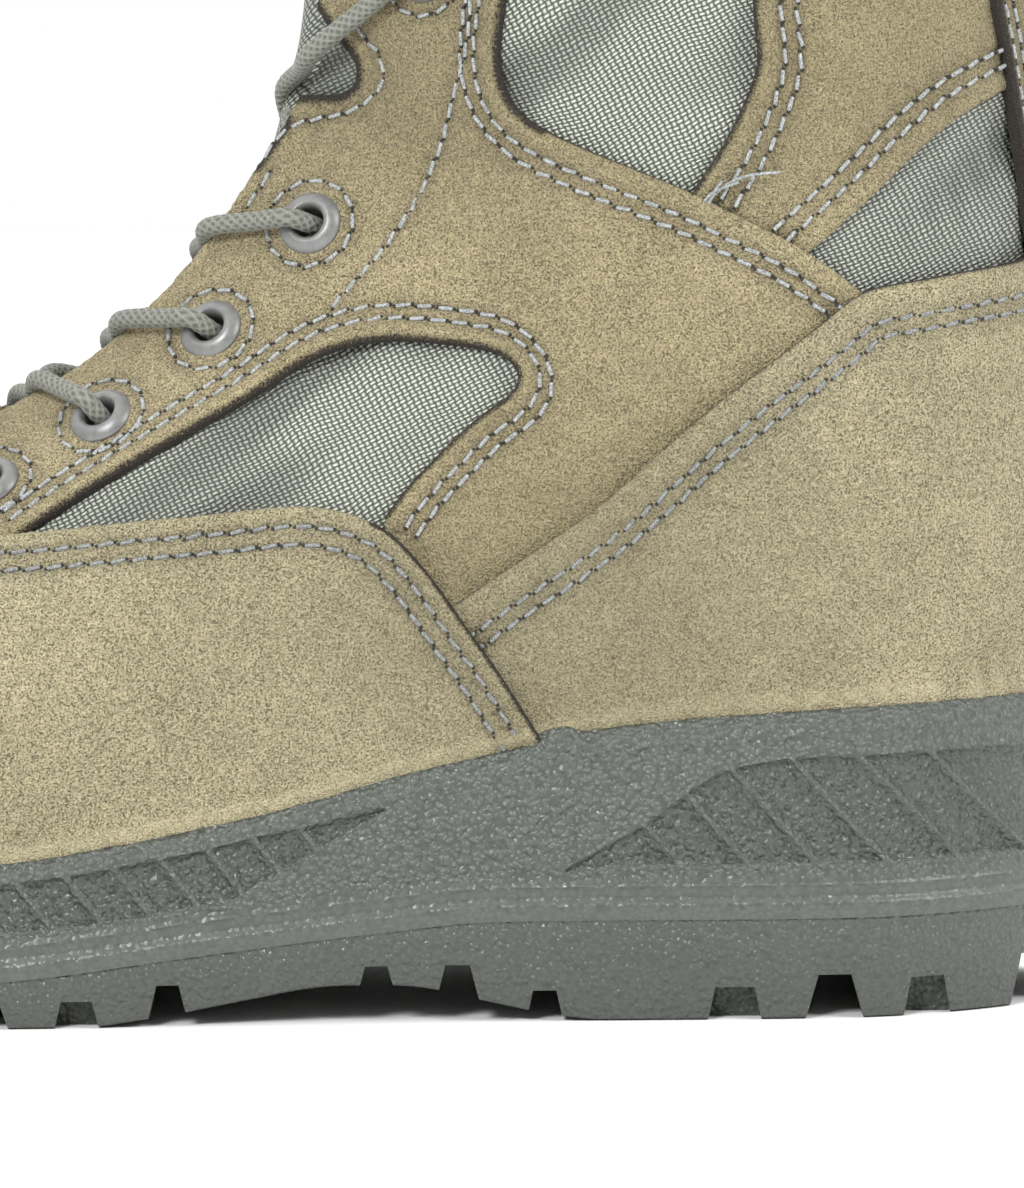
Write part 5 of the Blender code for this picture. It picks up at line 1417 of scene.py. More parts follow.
# Fineness of the cup's side, and clear strips at its ends, over its foot and under its rim
RECESS_RING_STEP, RECESS_STEP, CUP_STEP, CUP_FILL, CUP_SPACING = 0.15, 0.7, 1.3, 1.5, 0.28
LEVELS_OVER_PARTING = (0.35, 0.8, 1.6, 2.4, 2.8, 3.2, 3.7, 4.4, 5.4, 5.8, 6.2)
LEVELS_UNDER_RIM = (0.35, 0.8, 1.4, 2.1, 2.8, 3.3, 3.6, 3.95)
RECESS_RINGS = (-0.9, -0.45, 0.45, 0.9, -0.35, 0.35)
CLEAR_END, CLEAR_PARTING, CLEAR_RIM = 0.4, 0.4, 0.3
CUP_FOOT, ON_EDGE = 0.15, 0.02
FILL_START, FILL_OVER, STACK_OVER, STACK_STEP = 0.6, 1.0, 0.8, 1.0
# Inside of the lip as reach and drop, and reach of the hidden foot
LIP_STEPS, INNER_REACH = ((2.4, -0.05), (1.2, 0.1), (-0.4, 2.5)), -0.4
# The side's foot is plain up to this height over the band
PLAIN_ABOVE, PLAIN_FADE = 3.2, 1.2
CUP_WELD, CUP_SHARP = 0.01, 60.0


def sole_half(side):
    """Where the upper crosses the sole's rim, from the toe to the middle of the heel's back."""
    form = FORMS[side]
    heel = seam_line(HEEL_BACK_ROW, HEEL_BACK_ROW + 1, RIM_SAMPLES)
    back = form.at(heel)
    k = int(np.argmax(back[:, 2] > sole_height(RIM, back[:, 0])))
    places = list(OUTLINE_ROWS)
    places += [HEEL_BACK_ROW + (heel[k][0] - HEEL_BACK_ROW) * share for share in HEEL_SHARES]
    line = [(TOE_S, SECTIONS[0][-1])]
    for row in places:
        run = form.at(straight((row, 0.0), (row, 1.0), RIM_SAMPLES))
        above = run[:, 2] - sole_height(RIM, run[:, 0])
        last = int(np.nonzero(above > 0)[0][-1])
        share = above[last] / (above[last] - above[last + 1])
        line.append(tuple((run[last] + (run[last + 1] - run[last]) * share)[:2]))
    line.append((back[k][0], 0.0))
    return np.array(line)


def sole_ring(count):
    """A smooth closed outline, count points to a side, with its outward directions in plan."""
    lateral, medial = sole_half(1), sole_half(-1)
    loop = np.vstack([lateral, medial[-2:0:-1]])
    wrapped = np.vstack([loop[-WRAP:], loop, loop[:WRAP + 1]])
    along = lengths(wrapped)
    start, heel, stop = along[WRAP], along[WRAP + len(lateral) - 1], along[WRAP + len(loop)]
    u = np.concatenate([np.linspace(start, heel, count + 1)[:-1], np.linspace(heel, stop, count + 1)[:-1]])
    ring = np.stack([spline(along, column, u) for column in wrapped.T], axis=1)
    tangent = np.roll(ring, -1, axis=0) - np.roll(ring, 1, axis=0)
    normal = unit(np.stack([tangent[:, 1], -tangent[:, 0]], axis=1))
    if (normal * (ring - ring.mean(axis=0))).sum() < 0:
        normal = -normal
    return ring, normal


def simplify(line, tolerance=0.2):
    """The fewest points of a line that stay within the tolerance of it."""
    if len(line) < 3:
        return line
    (s0, z0), (s1, z1) = line[0], line[-1]
    length = math.hypot(s1 - s0, z1 - z0)
    away = [abs((s1 - s0) * (z - z0) - (z1 - z0) * (s - s0)) / length for s, z in line]
    k = int(np.argmax(away))
    if away[k] < tolerance:
        return [line[0], line[-1]]
    return simplify(line[:k + 1], tolerance)[:-1] + simplify(line[k:], tolerance)


def bar_pockets(top, bottom, bars):
    """The outlines left between slanting bars across a recessed panel."""
    tops, bottoms = np.array(sorted(top)), np.array(sorted(bottom))
    first, last = tops[0, 0], tops[-1, 0]
    middles = [bars["start_s"] + k * bars["spacing"] for k in range(bars["count"])]
    edges = [first - BAR_BEYOND] + middles + [last + BAR_BEYOND]
    pockets = []
    for k in range(len(edges) - 1):
        low, high = edges[k] + BAR_WIDTH / 2, edges[k + 1] - BAR_WIDTH / 2
        kept = []
        for s in np.arange(first, last + BAR_SAMPLE / 2, BAR_SAMPLE):
            roof = np.interp(s, tops[:, 0], tops[:, 1])
            base = np.interp(s, bottoms[:, 0], bottoms[:, 1])
            z0 = max(base, bars["at_z"] + (s - high) / bars["lean"])
            z1 = min(roof, bars["at_z"] + (s - low) / bars["lean"])
            if z1 - z0 > THINNEST_RECESS:
                kept.append((s, z0, z1))
        if len(kept) > FEWEST_SAMPLES:
            lower = simplify([(s, z0) for s, z0, z1 in kept])
            upper = simplify([(s, z1) for s, z0, z1 in kept])
            pockets.append(lower + upper[::-1])
    return pockets


def wall_reach(s, z):
    """How far the sole's side stands out at a height: band at the foot, lip at the rim."""
    below, above = z - sole_height(PARTING, s), rim_height(s) - z
    tall = np.maximum(below + above - BAND_HEIGHT - LIP_HEIGHT, 1.0)
    reach = SIDE_REACH - (SIDE_REACH - SHOULDER_REACH) * np.clip((below - BAND_HEIGHT) / tall, 0, 1)
    reach -= (SHOULDER_REACH - RIM_REACH) * (1 - np.clip(above / LIP_HEIGHT, 0, 1)) ** LIP_POWER
    band = smoothstep(below / BAND_RISE + BAND_LEAD)
    band *= 1 - smoothstep((below - BAND_HEIGHT + BAND_LEAD) / BAND_FALL)
    reach += (BAND_REACH - SIDE_REACH) * band
    reach += BEAD * bell(below - BAND_HEIGHT - BEAD_ABOVE, BEAD_WIDTH)
    reach += LIP_BEAD * bell(above - LIP_HEIGHT - LIP_BEAD_BELOW, BEAD_WIDTH)
    return reach


def pocket_depth(pockets, points):
    """Depth of the recess at points of the unrolled side."""
    deep = np.zeros(len(points))
    for pocket in pockets:
        sunk = inside(pocket, points)
        if sunk.any():
            ring = tree_of(resample(closed(pocket), RECESS_RING_STEP))
            away = nearest(ring, points[sunk])[0]
            deep[sunk] = smoothstep(away / RECESS_DRAFT)
    return deep


class SoleSide:
    """The sole's side unrolled: places on it are (distance round the outline, height)."""

    def __init__(self):
        self.ring, self.normal = (closed(loop) for loop in sole_ring(CUP_COUNT))
        self.around = lengths(self.ring)

    def s_at(self, x):
        return np.interp(x, self.around, self.ring[:, 0])

    def unrolled(self, outline, side):
        """An outline in side view, on one side of the boot."""
        half = slice(0, CUP_COUNT + 1) if side > 0 else slice(CUP_COUNT, None)
        order = np.argsort(self.ring[half, 0])
        x = np.interp(outline[:, 0], self.ring[half, 0][order], self.around[half][order])
        return np.stack([x, outline[:, 1]], axis=1)

    def in_space(self, places, reach):
        """Points that stand out from the outline by a reach."""
        lean = unit(read_table(places[:, 0], self.around, self.normal))
        plan = read_table(places[:, 0], self.around, self.ring) + lean * np.asarray(reach)[:, None]
        return np.column_stack([plan, places[:, 1]])

    def points(self, pockets, x, low, high):
        """Points inside it: along its band and lip, round the recesses and between them."""
        free = [np.stack([x, low - CUP_FOOT + rise], axis=1) for rise in LEVELS_OVER_PARTING]
        free += [np.stack([x, high - drop], axis=1) for drop in LEVELS_UNDER_RIM]
        for pocket in pockets:
            loop = closed(pocket)
            tangent = np.gradient(loop, axis=0)
            across = unit(np.stack([-tangent[:, 1], tangent[:, 0]], axis=1))
            free += [loop + across * distance for distance in RECESS_RINGS]
        for k, place in enumerate(np.arange(FILL_START, self.around[-1], CUP_FILL)):
            s = self.s_at(place)
            start = sole_height(PARTING, s) + FILL_OVER + CUP_FILL / 2 * (k % 2)
            column = np.arange(float(start), float(rim_height(s)), CUP_FILL)
            free.append(np.stack([np.full(len(column), place), column], axis=1))
        free = np.vstack(free)
        s = self.s_at(free[:, 0])
        fits = (free[:, 0] > CLEAR_END) & (free[:, 0] < self.around[-1] - CLEAR_END)
        fits &= free[:, 1] > sole_height(PARTING, s) + CLEAR_PARTING
        fits &= free[:, 1] < rim_height(s) - CLEAR_RIM
        walls = [resample(closed(pocket), RECESS_STEP)[:-1] for pocket in pockets]
        return apart(np.vstack(walls + [free[fits]]), CUP_SPACING)

    def mesh(self, pockets):
        """Places and triangles of the whole side."""
        x = np.linspace(0, self.around[-1], int(self.around[-1] / CUP_STEP))
        low, high = sole_height(PARTING, self.s_at(x)) + CUP_FOOT, rim_height(self.s_at(x))
        stack = np.arange(low[0] + STACK_OVER, high[0] - CLEAR_RIM, STACK_STEP)
        last, first = (np.stack([np.full(len(stack), end), stack], axis=1) for end in (x[-1], x[0]))
        loop = np.vstack([
            np.stack([x, low], axis=1), last, np.stack([x, high], axis=1)[::-1], first[::-1],
        ])
        return triangulate([loop], self.points(pockets, x, low, high))


def make_midsole():
    """The cup: its outer side as one sheet round the boot, with a lip that turns in behind the rim."""
    sheet = SoleSide()
    outlines = bar_pockets(FRONT_RECESS_TOP, FRONT_RECESS_BOTTOM, FRONT_BARS)
    outlines += bar_pockets(REAR_RECESS_TOP, REAR_RECESS_BOTTOM, REAR_BARS)
    outlines = [resample(closed(np.array(outline)), RECESS_STEP)[:-1] for outline in outlines]
    pockets = [sheet.unrolled(outline, side) for side in FORMS for outline in outlines]
    places, faces = sheet.mesh(pockets)
    deep = pocket_depth(pockets, places)
    s = sheet.s_at(places[:, 0])
    parting = sole_height(PARTING, s)

    def edge_at(heights):
        """The points that lie on an edge of the side, in their order round the outline."""
        on_edge = np.nonzero(np.abs(places[:, 1] - heights) < ON_EDGE)[0]
        return sorted(on_edge, key=lambda k: places[k, 0])

    vertices = list(sheet.in_space(places, wall_reach(s, places[:, 1]) - RECESS_DEPTH * deep))
    triangles = [tuple(face) for face in faces]
    top, foot = edge_at(rim_height(s)), edge_at(parting + CUP_FOOT)
    if len(top) != len(foot):
        raise ValueError("the rim and the parting line have different points")
    turned_in = [(places[top] - (0.0, drop), reach) for reach, drop in LIP_STEPS]
    rings = [top]
    for spots, reach in turned_in + [(places[foot], INNER_REACH)]:
        start = len(vertices)
        vertices += list(sheet.in_space(spots, np.full(len(spots), reach)))
        rings.append(range(start, start + len(spots)))
    rings.append(foot)
    for one, other in zip(rings, rings[1:]):
        triangles += [(one[k], other[k], other[k + 1], one[k + 1]) for k in range(len(one) - 1)]
    plain = 1 - smoothstep((places[:, 1] - parting - BAND_HEIGHT - PLAIN_ABOVE) / PLAIN_FADE)
    hidden = np.zeros(len(vertices) - len(deep))
    shades = {"pocket": [*deep, *hidden], "band": [*plain, *hidden]}
    piece(
        "midsole_cup", vertices, triangles, MIDSOLE_LOOK, "midsole_foam", ["midsole"], shades,
        CUP_WELD, CUP_SHARP,
    )


def prism(outline, near, far):
    """A closed prism along y from an outline in side view, as a cutter."""
    count = len(outline)
    vertices = [(s, near, z) for s, z in outline] + [(s, far, z) for s, z in outline]
    faces = [tuple(range(count)), tuple(range(2 * count - 1, count - 1, -1))]
    faces += [(k, k + count, (k + 1) % count + count, (k + 1) % count) for k in range(count)]
    mesh = mesh_from("cutter", vertices, faces)
    finish_mesh(mesh)
    return link("cutter", mesh, body=False)


def carve(item, cutters):
    """Cut the cutters out of an object and remove them."""
    for cutter in cutters:
        step = item.modifiers.new("cut", "BOOLEAN")
        step.operation = "DIFFERENCE"
        step.solver = "EXACT"
        step.object = cutter
    apply_modifiers(item)
    for cutter in cutters:
        bpy.data.objects.remove(cutter)


def apply_modifiers(item):
    """Turn the modifiers of an object into its own mesh."""
    graph = bpy.context.evaluated_depsgraph_get()
    mesh = bpy.data.meshes.new_from_object(item.evaluated_get(graph))
    item.modifiers.clear()
    item.data = mesh


def tread_block(ring, normal):
    """The uncut tread, from the ground up into the midsole."""
    total, count = len(ring), TREAD_COUNT
    top = sole_height(PARTING, ring[:, 0]) + TREAD_OVERLAP
    under = sole_height(UNDERSIDE, ring[:, 0])
    levels = [(reach, under + rise) for reach, rise in TREAD_FOOT]
    levels += [(reach, top + rise) for reach, rise in TREAD_HEAD]
    vertices, faces = [], []
    for reach, heights in levels:
        vertices += [(*spot, z) for spot, z in zip(ring + normal * reach, heights)]
    for level in range(len(levels) - 1):
        a, b = level * total, (level + 1) * total
        faces += [(a + k, a + (k + 1) % total, b + (k + 1) % total, b + k) for k in range(total)]
    for base in (0, (len(levels) - 1) * total):
        end = base + total
        faces.append((base, base + 1, end - 1))
        faces += [(base + k, base + k + 1, end - k - 1, end - k) for k in range(1, count - 1)]
        faces.append((base + count - 1, base + count, base + count + 1))
    return vertices, faces


def tread_cutters(tread):
    """Prisms for the grooves, the channels along the middle and the side pockets of a tread's outline."""
    cutters = []
    for back, front, lean, depth in GROOVES:
        roof = float(sole_height(UNDERSIDE, (back + front) / 2)) + depth
        outline = [
            (back - GROOVE_FLARE, GROOVE_FOOT), (front + GROOVE_FLARE, GROOVE_FOOT),
            (front - lean, roof), (back + lean, roof),
        ]
        cutters.append(prism(outline, -GROOVE_FAR, GROOVE_FAR))
    for back, front, depth, middle in CHANNELS:
        outline = [(back, CUTTER_FOOT), (front, CUTTER_FOOT), (front, depth), (back, depth)]
        cutters.append(prism(outline, middle - CHANNEL_HALF_WIDTH, middle + CHANNEL_HALF_WIDTH))
    for back, front, roof in LUG_POCKETS:
        outline = [
            (back - POCKET_FLARE, CUTTER_FOOT), (front + POCKET_FLARE, CUTTER_FOOT),
            (front - POCKET_LEAN, roof), (back + POCKET_LEAN, roof),
        ]
        for side, half in ((1, tread[:TREAD_COUNT + 1]), (-1, closed(tread)[TREAD_COUNT:])):
            order = np.argsort(half[:, 0])
            edge = float(np.interp((back + front) / 2, half[order, 0], half[order, 1]))
            cutters.append(prism(outline, edge - side * POCKET_REACH, edge + side * POCKET_FAR))
    return cutters


def make_outsole():
    """Rubber tread with lugs, grooves, side pockets and channels, and softened edges."""
    ring, normal = sole_ring(TREAD_COUNT)
    mesh = mesh_from("outsole_tread", *tread_block(ring, normal))
    finish_mesh(mesh)
    item = link("outsole_tread", mesh)
    carve(item, tread_cutters(ring + normal * TREAD_REACH))
    work = bmesh.new()
    work.from_mesh(item.data)
    bmesh.ops.remove_doubles(work, verts=work.verts, dist=TREAD_WELD)
    flat = math.radians(TREAD_FLAT)
    bmesh.ops.dissolve_limit(work, angle_limit=flat, verts=work.verts, edges=work.edges)
    work.to_mesh(item.data)
    work.free()
    soften = item.modifiers.new("soften", "BEVEL")
    soften.width = TREAD_BEVEL * MM
    soften.segments = BEVEL_STEPS
    soften.limit_method = "ANGLE"
    soften.angle_limit = math.radians(BEVEL_FROM)
    apply_modifiers(item)
    item.data.shade_smooth()
    item.data.set_sharp_from_angle(angle=math.radians(TREAD_SHARP))
    item.data.materials.clear()
    item.data.materials.append(OUTSOLE_LOOK)
    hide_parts("outsole")


def turned(centre, axis, profile, sides):
    """A ring turned round an axis, from a closed profile of (radius, height)."""
    first = unit(np.cross(axis, (1.0, 0.0, 0.0)))
    second = np.cross(axis, first)
    vertices, faces, count = [], [], len(profile)
    for k in range(sides):
        turn = 2 * math.pi * k / sides
        out = first * math.cos(turn) + second * math.sin(turn)
        vertices += [centre + out * radius + axis * height for radius, height in profile]
        after = (k + 1) % sides
        for m in range(count):
            n = (m + 1) % count
            faces.append((k * count + m, k * count + n, after * count + n, after * count + m))
    return vertices, faces


EYELET_PROFILE = (
    (2.8, -2.6), (2.65, 1.2), (2.7, 2.4), (2.95, 3.0), (3.35, 3.25), (3.9, 3.2), (4.5, 2.9),
    (5.1, 2.45), (5.45, 2.05), (5.55, 1.75), (5.4, 1.5), (4.6, 1.45), (3.7, 1.45), (3.7, -2.0),
    (4.8, -2.1), (4.8, -2.5), (4.0, -2.9), (3.3, -2.9),
)
EYELET_SIDES, EYELET_SHARP = 56, 50.0


def make_eyelets():
    """A turned ring for every eyelet."""
    for side, form in FORMS.items():
        for k, place in enumerate(EYELETS):
            centre = form.find([place])
            spot, axis = form.at(centre)[0], form.normal(centre)[0]
            made = turned(spot, axis, EYELET_PROFILE, EYELET_SIDES)
            node = f"eyelet_{WORDS[side]}_{k + 1}"
            piece(f"{node}_ring", *made, EYELET_LOOK, "eyelet_metal", [node], sharp=EYELET_SHARP)


def over_instep(row, y, lift):
    """A point over the instep at a distance y from the middle plane."""
    form = FORMS[1 if y >= 0 else -1]
    return form.at([form.across(row, y)], lift)[0]


def over_throat(row, y, lift, crown):
    """The same, but nearly straight across the open throat."""
    half = THROAT_HALF_WIDTH
    if abs(y) >= half:
        return over_instep(row, y, lift)
    right, left = over_instep(row, half, lift), over_instep(row, -half, lift)
    share = (y + half) / (2 * half)
    rise = np.interp(row, CROWN_ROWS, crown) * (1 - (y / half) ** 2)
    return left + (right - left) * share + FORMS[1].normal([(row, 0.0)])[0] * rise


# Where the lace lies: on the facing, and inside the wall
ON_FACING = HEIGHTS["quarter"] + LACE_RADIUS
UNDER_WALL = -WALL - LACE_RADIUS - 0.2
# Into an eyelet: distance from its middle towards the last point, and height
DIVE = ((5.8, ON_FACING + 1.0), (2.6, ON_FACING + 1.6), (0.6, 2.2), (-0.4, -0.4), (0.0, -WALL - 1.6))
# One strand passes over the other by this much, and the bar lies this far before the first eyelets
CROSSING = 1.5
BAR_LEAD, BAR_MIDDLE_LEAD, BAR_SIDE, BAR_SINK = 0.1, 0.15, 6.0, 1.2
LACE_SIDES, LACE_STEP, LACE_SHARP = 32, 0.34, 80.0
BRAID_BASE, BRAID_RELIEF, STRAND_FROM, STRAND_FADE = 0.90, 0.11, 0.2, 1.1


def lace_route():
    """Up each side in turn: over the facing into an eyelet, then under it to the other side."""
    spots = {}
    for side, form in FORMS.items():
        for k, place in enumerate(EYELETS):
            where = form.find([place])
            spots[(k, side)] = (where[0][0], form.at(where)[0], form.normal(where)[0])

    def dive(k, side, came_from):
        """Over the eyelet's rim and down its bore to the inside."""
        row, spot, normal = spots[(k, side)]
        toward = came_from - spot
        toward = unit(toward - normal * (toward @ normal))
        return [spot + toward * near + normal * rise for near, rise in DIVE]

    def leg(k, side, over):
        """From inside eyelet k on one side to the outside of the next on the other."""
        row, spot, _ = spots[(k, side)]
        next_row, next_spot, _ = spots[(k + 1, -side)]
        y0, y1 = spot[1], next_spot[1]
        under, half = UNDER_WALL, THROAT_HALF_WIDTH
        cross = CROSSING if over else -CROSSING
        steps = (
            (half + 3.0, under), (half - 2.0, under + 0.6), (4.5, (under + cross) / 2 + 0.6),
            (-2.0, cross + 0.5), (3.5 - half, ON_FACING - 2.2), (-half - 0.3, ON_FACING + 0.1),
        )

        def at(y, lift):
            stops = (-abs(y0), -half, half, abs(y1))
            share = np.interp(-side * y, stops, (0.0, LEG_ENTRY, LEG_EXITS[k], 1.0))
            return over_throat(row + (next_row - row) * share, y, lift, LACE_CROWN)

        return [at(side * y, lift) for y, lift in steps]

    def strand(side):
        points = []
        for k in range(len(EYELETS)):
            here = side if k % 2 == 0 else -side
            if k:
                points += leg(k - 1, -here, here > 0)
                came_from = points[-1]
            else:
                came_from = over_instep(spots[(0, here)][0] - BAR_LEAD, here * BAR_SIDE, ON_FACING)
                points += [came_from]
            points += dive(k, here, came_from)
        return points

    middle = over_instep(spots[(0, 1)][0] - BAR_MIDDLE_LEAD, 0.0, ON_FACING - BAR_SINK)
    return np.array(strand(-1)[::-1] + [middle] + strand(1))


def tube_faces(start, rings, sides):
    """Faces of a closed tube of rings that follow each other from vertex start on."""
    faces = []
    for a in range(start, start + (rings - 1) * sides, sides):
        for k in range(sides):
            after = a + (k + 1) % sides
            faces.append((a + k, after, after + sides, a + k + sides))
    last = start + (rings - 1) * sides
    return faces + [tuple(range(start, start + sides))[::-1], tuple(range(last, last + sides))]


def braided_tube(route, radius, sides, step):
    """A braided cord: strands cross over and under each other round it."""
    line = curve(route, step)
    tangent = unit(np.gradient(line, axis=0))
    along = lengths(line)
    normal = np.cross(tangent[0], (0.0, 0.0, 1.0))
    turn = np.linspace(0, 2 * math.pi, sides, endpoint=False)
    vertices, strand = [], []
    for k, point in enumerate(line):
        normal = unit(normal - tangent[k] * (normal @ tangent[k]))
        other = np.cross(tangent[k], normal)
        right = np.cos(BRAID_STRANDS * turn + along[k] * BRAID_TURN)
        left = np.cos(BRAID_STRANDS * turn - along[k] * BRAID_TURN)
        high = np.maximum(right, left)
        swell = radius * (BRAID_BASE + BRAID_RELIEF * high)
        vertices += list(circle(point, normal, other, swell[:, None], turn))
        strand += list(smoothstep((high + STRAND_FROM) / STRAND_FADE))
    return vertices, tube_faces(0, len(line), sides), strand, along[-1]


def make_lace():
    """One braided lace along its route."""
    made = braided_tube(lace_route(), LACE_RADIUS, LACE_SIDES, LACE_STEP)
    vertices, faces, strand, length = made
    nodes = ["lace_bar"] + [f"lace_cross_{k}" for k in range(1, len(EYELETS))]
    shades = {"strand": strand}
    piece("lace", vertices, faces, LACE_LOOK, "lace_cord", nodes, shades, sharp=LACE_SHARP)
    print("lace length mm", round(length))


# Tongue: rows and width, then where its edges and top grow thin, over what distance and by how much
TONGUE_ROWS, TONGUE_ROW_STEP, TONGUE_WIDTHS = (6.0, 20.001), 0.1, (-27.0, 27.0, 61)
TONGUE_EDGE, TONGUE_EDGE_FADE, TONGUE_TOP, TONGUE_TOP_FADE = 23.0, 4.0, 19.4, 0.6
TONGUE_EDGE_DROP, TONGUE_EDGE_THIN, TONGUE_TOP_DROP, TONGUE_TOP_THIN = 1.2, 2.0, 1.0, 1.6
TONGUE_FILL, TONGUE_SHARP = 0.7, 60.0


def make_tongue():
    """Padded tongue: crowned between the facings and thinner where they press on it."""
    rows = np.arange(*TONGUE_ROWS, TONGUE_ROW_STEP)
    widths = np.linspace(*TONGUE_WIDTHS)
    outer, inner = [], []
    for row in rows:
        for y in widths:
            edge = max((abs(y) - TONGUE_EDGE) / TONGUE_EDGE_FADE, 0.0) ** 2
            end = max((row - TONGUE_TOP) / TONGUE_TOP_FADE, 0.0) ** 2
            thin = TONGUE_EDGE_THIN * edge + TONGUE_TOP_THIN * end
            drop = TONGUE_EDGE_DROP * edge + TONGUE_TOP_DROP * end
            for layer, lift in ((outer, TONGUE_OUTER), (inner, TONGUE_INNER + thin)):
                layer.append(over_throat(row, y, lift - drop, TONGUE_CROWN))
    across, count = len(widths), len(outer)
    faces = []
    for i in range(len(rows) - 1):
        for j in range(across - 1):
            a = i * across + j
            quad = (a, a + 1, a + across + 1, a + across)
            faces += [quad, tuple(k + count for k in quad[::-1])]
    rim = list(range(across)) + [i * across + across - 1 for i in range(1, len(rows))]
    rim += [(len(rows) - 1) * across + j for j in range(across - 2, -1, -1)]
    rim += [i * across for i in range(len(rows) - 2, 0, -1)]
    for k, a in enumerate(rim):
        b = rim[(k + 1) % len(rim)]
        faces.append((b, a, a + count, b + count))
    made = outer + inner, faces
    item = piece("tongue_pad", *made, NYLON_FRONT, "nylon", ["tongue"], sharp=TONGUE_SHARP)


# One stitch: places along it, its swelling and sinking, its ends painted dark as shade in the needle holes,
# the darkening of rows on the vamp and counter, and how stitches differ
STITCH_PLACES = np.array([-1.0, -0.86, -0.74, -0.66, -0.3, 0.3, 0.66, 0.74, 0.86, 1.0])
STITCH_SWELL, STITCH_TAPER, STITCH_SINK, STITCH_POWER = 1.1, 0.4, 0.12, 4
STITCH_END, LOW_ROW_DARKENING, STITCH_LIFT, STITCH_REACH = 0.7, 0.3, 0.18, 0.8
STITCH_LENGTHS, STITCH_UNEVEN, STITCH_SEEDS, STITCH_SHARP = (0.92, 1.06), 0.05, {1: 7, -1: 8}, 70.0
LOOSE_STEP, LOOSE_START, LOOSE_THIN = 0.6, 0.2, 0.8
THREAD_TURN = np.linspace(0, 2 * math.pi, THREAD_SIDES, endpoint=False)


def lay_thread(made, middles, across, up, radii, tips):
    """Add a tube of thread along some middles to the vertices, faces and tips made so far."""
    vertices, faces, shades = made
    faces += tube_faces(len(vertices), len(middles), THREAD_SIDES)
    for middle, aside, rise, radius, tip in zip(middles, across, up, radii, tips):
        vertices += list(circle(middle, aside, rise, radius, THREAD_TURN))
        shades += [tip] * THREAD_SIDES


def stitch_row(made, side, line, height, draw):
    """One row of separate stitches that dip into the leather at both ends."""
    form, x = FORMS[side], STITCH_PLACES
    bend = np.abs(x) ** STITCH_POWER
    radii = THREAD_RADIUS * (STITCH_SWELL - STITCH_TAPER * bend)
    # Ends painted dark as shade in the needle holes; rows on the vamp and counter are darker all along
    low_row_dark = LOW_ROW_DARKENING if height > HEIGHTS["collar_band"] else 0.0
    tips = np.where(np.abs(x) > STITCH_END, 1.0, low_row_dark)
    points = form.at(line)
    along = lengths(points)
    count = max(int(round(along[-1] / STITCH_PITCH)), 1)
    for centre in (np.arange(count) + 0.5) * along[-1] / count:
        length = STITCH_LENGTH / 2 * draw.uniform(*STITCH_LENGTHS)
        place = read_table([centre], along, line)
        spot = form.at(place, height - GROOVE_DEPTH + STITCH_LIFT)[0]
        up = form.normal(place)[0]
        before, after = read_table([centre - STITCH_REACH, centre + STITCH_REACH], along, points)
        ahead = after - before
        ahead = unit(ahead - up * (ahead @ up))
        tilt = draw.normal(STITCH_SLANT * side, STITCH_UNEVEN)
        ahead = ahead * math.cos(tilt) + np.cross(up, ahead) * math.sin(tilt)
        across = np.cross(up, ahead)
        middles = spot + np.outer(x * length, ahead) - np.outer(STITCH_SINK * bend, up)
        lay_thread(made, middles, [across] * len(x), [up] * len(x), radii, tips)


def loose_end(made, form, pixels):
    """A thread end that rises off the leather."""
    line = form.find(curve(seen(pixels), LOOSE_STEP))
    lift = HEIGHTS["shaft_panel"] + np.linspace(LOOSE_START, LOOSE_RISE, len(line))
    points, up = form.at(line, lift), form.normal(line)
    across = np.cross(up, unit(np.gradient(points, axis=0)))
    radii = np.full(len(points), THREAD_RADIUS * LOOSE_THIN)
    lay_thread(made, points, across, up, radii, np.zeros(len(points)))


def make_stitches(side):
    """Every remembered row of one side, and the loose ends on the side that is seen."""
    draw = np.random.default_rng(STITCH_SEEDS[side])
    vertices, faces, tips = made = [], [], []
    for line, height in STITCHES[side]:
        stitch_row(made, side, line, height, draw)
    for pixels in LOOSE_ENDS if side > 0 else ():
        loose_end(made, FORMS[side], pixels)
    name, shades = f"stitching_{WORDS[side]}", {"tip": tips}
    piece(name, vertices, faces, THREAD_LOOK, "suede", shades=shades, sharp=STITCH_SHARP)


# The sky is this much darker behind the camera, so that the lamps model the grain
FRONT_DIMMING = 0.15
# Sky ramps: axis, where each begins and ends, and its strength there
SKY_RAMPS = (("Z", 0.05, 0.7, 1.0, 1.7), ("Y", 0.1, 0.7, 1.0, FRONT_DIMMING))
# Lamps: name, place, size and power, and what they point at
LAMPS = (("key", (0.35, 0.95, 0.75), 0.35, 11.0), ("fill", (-0.8, 0.5, 0.7), 0.35, 4.5))
LAMP_AIM = (0.0, 0.0, 0.08)
FLOOR_SIZE, FLOOR_TONES, FLOOR_GRAIN = 4, ((0.95, 0.95, 0.95), (0.97, 0.97, 0.97)), 0.002
SENSOR_WIDTH, CLIP_RANGE = 24.0, (0.05, 20.0)


def make_floor():
    """Pale floor."""
    mesh = bpy.data.meshes.new("floor")
    corners = [(x * FLOOR_SIZE, y * FLOOR_SIZE, 0) for x, y in ((-1, -1), (1, -1), (1, 1), (-1, 1))]
    mesh.from_pydata(corners, [], [(0, 1, 2, 3)])
    look = Look("floor_white", Roughness=0.9)
    mesh.materials.append(look.done(look.mix(look.noise(FLOOR_GRAIN), *FLOOR_TONES)))
    floor = link("floor", mesh, body=False)


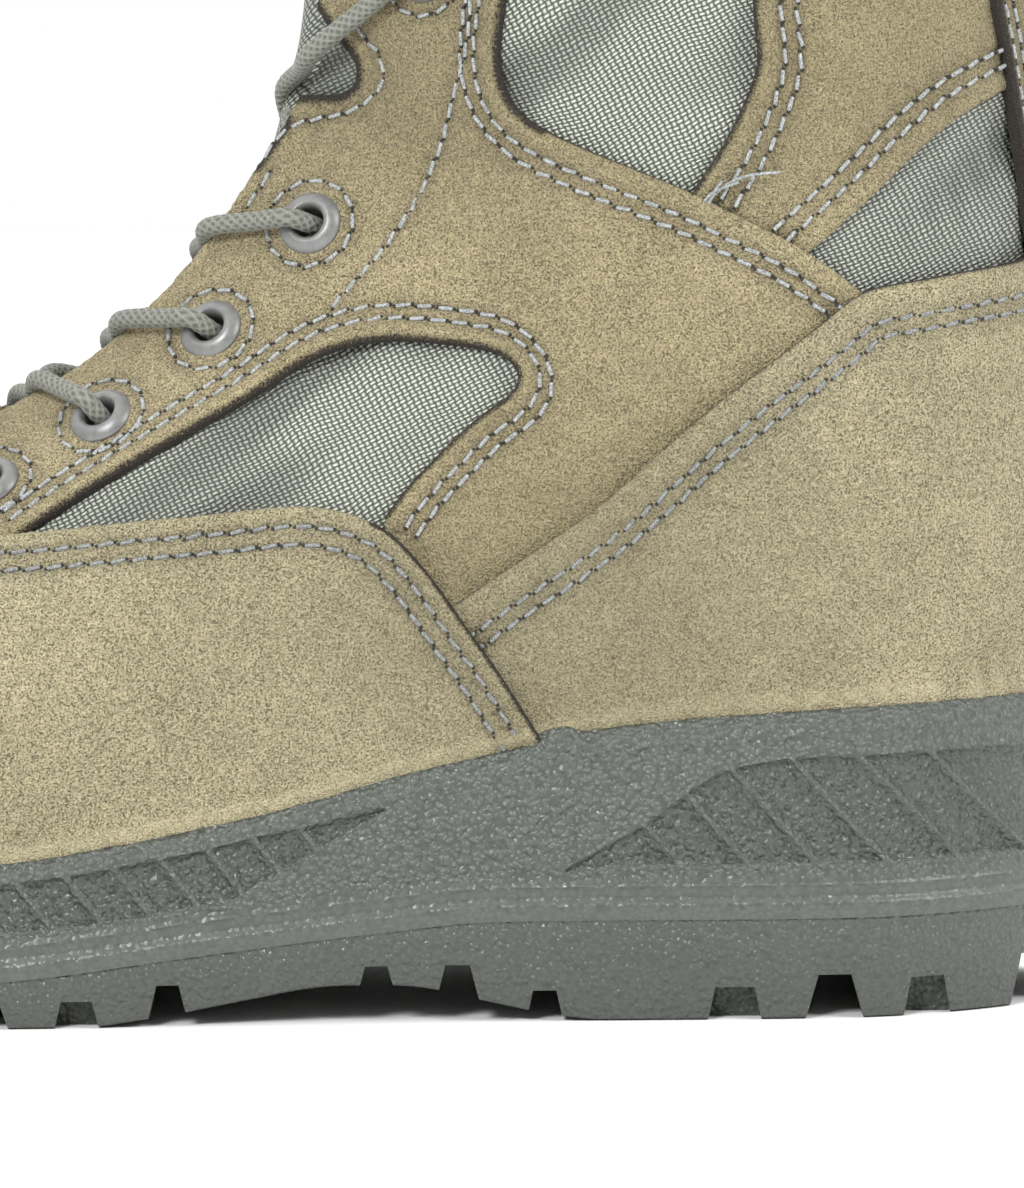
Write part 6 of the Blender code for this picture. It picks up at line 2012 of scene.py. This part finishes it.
def make_sky(scene):
    """White studio, brighter above and darker behind the camera."""
    world = bpy.data.worlds.new("studio")
    scene.world = world
    world.use_nodes = True
    tree = world.node_tree
    way = tree.nodes.new("ShaderNodeSeparateXYZ")
    tree.links.new(tree.nodes.new("ShaderNodeTexCoord").outputs["Generated"], way.inputs[0])
    product = tree.nodes.new("ShaderNodeMath")
    product.operation = "MULTIPLY"
    for (axis, *values), factor in zip(SKY_RAMPS, product.inputs):
        ramp = tree.nodes.new("ShaderNodeMapRange")
        ramp.interpolation_type = "SMOOTHSTEP"
        for socket, value in zip(ramp.inputs[1:5], values):
            socket.default_value = value
        tree.links.new(way.outputs[axis], ramp.inputs[0])
        tree.links.new(ramp.outputs[0], factor)
    sky = tree.nodes["Background"]
    sky.inputs["Color"].default_value = (1.0, 1.0, 1.0, 1.0)
    tree.links.new(product.outputs[0], sky.inputs["Strength"])


def place_aimed(scene, name, data, place, target):
    """A lamp or camera at a place, turned towards a target."""
    item = bpy.data.objects.new(name, data)
    item.location = place
    aim = Vector(target) - item.location
    item.rotation_euler = aim.to_track_quat("-Z", "Y").to_euler()
    scene.collection.objects.link(item)
    return item


def make_stage():
    """Floor, soft studio light and the photograph's camera."""
    make_floor()
    scene = bpy.context.scene
    scene.view_settings.view_transform = "Standard"
    make_sky(scene)
    for name, place, size, power in LAMPS:
        light = bpy.data.lights.new(name, "AREA")
        light.size = size
        light.energy = power
        place_aimed(scene, name, light, place, LAMP_AIM)
    lens = bpy.data.cameras.new("camera")
    lens.sensor_width = SENSOR_WIDTH
    lens.lens = SENSOR_WIDTH * CAMERA_DISTANCE * PIXELS_PER_MM / PHOTO_HEIGHT
    lens.clip_start, lens.clip_end = CLIP_RANGE
    eye, target = metres(camera_place()), metres(CAMERA_TARGET)
    scene.camera = place_aimed(scene, "camera", lens, eye, target)


make_stage()
make_lace()
make_upper()
make_tongue()
make_vamp()
make_counter()
for flank in (1, -1):
    make_quarter(flank)
    make_strap(flank)
make_backstay()
make_collar()
make_midsole()
make_outsole()
make_eyelets()
for flank in (1, -1):
    make_stitches(flank)
frame["nodes"]["insole"].data.materials.clear()
frame["nodes"]["insole"].data.materials.append(footbed())
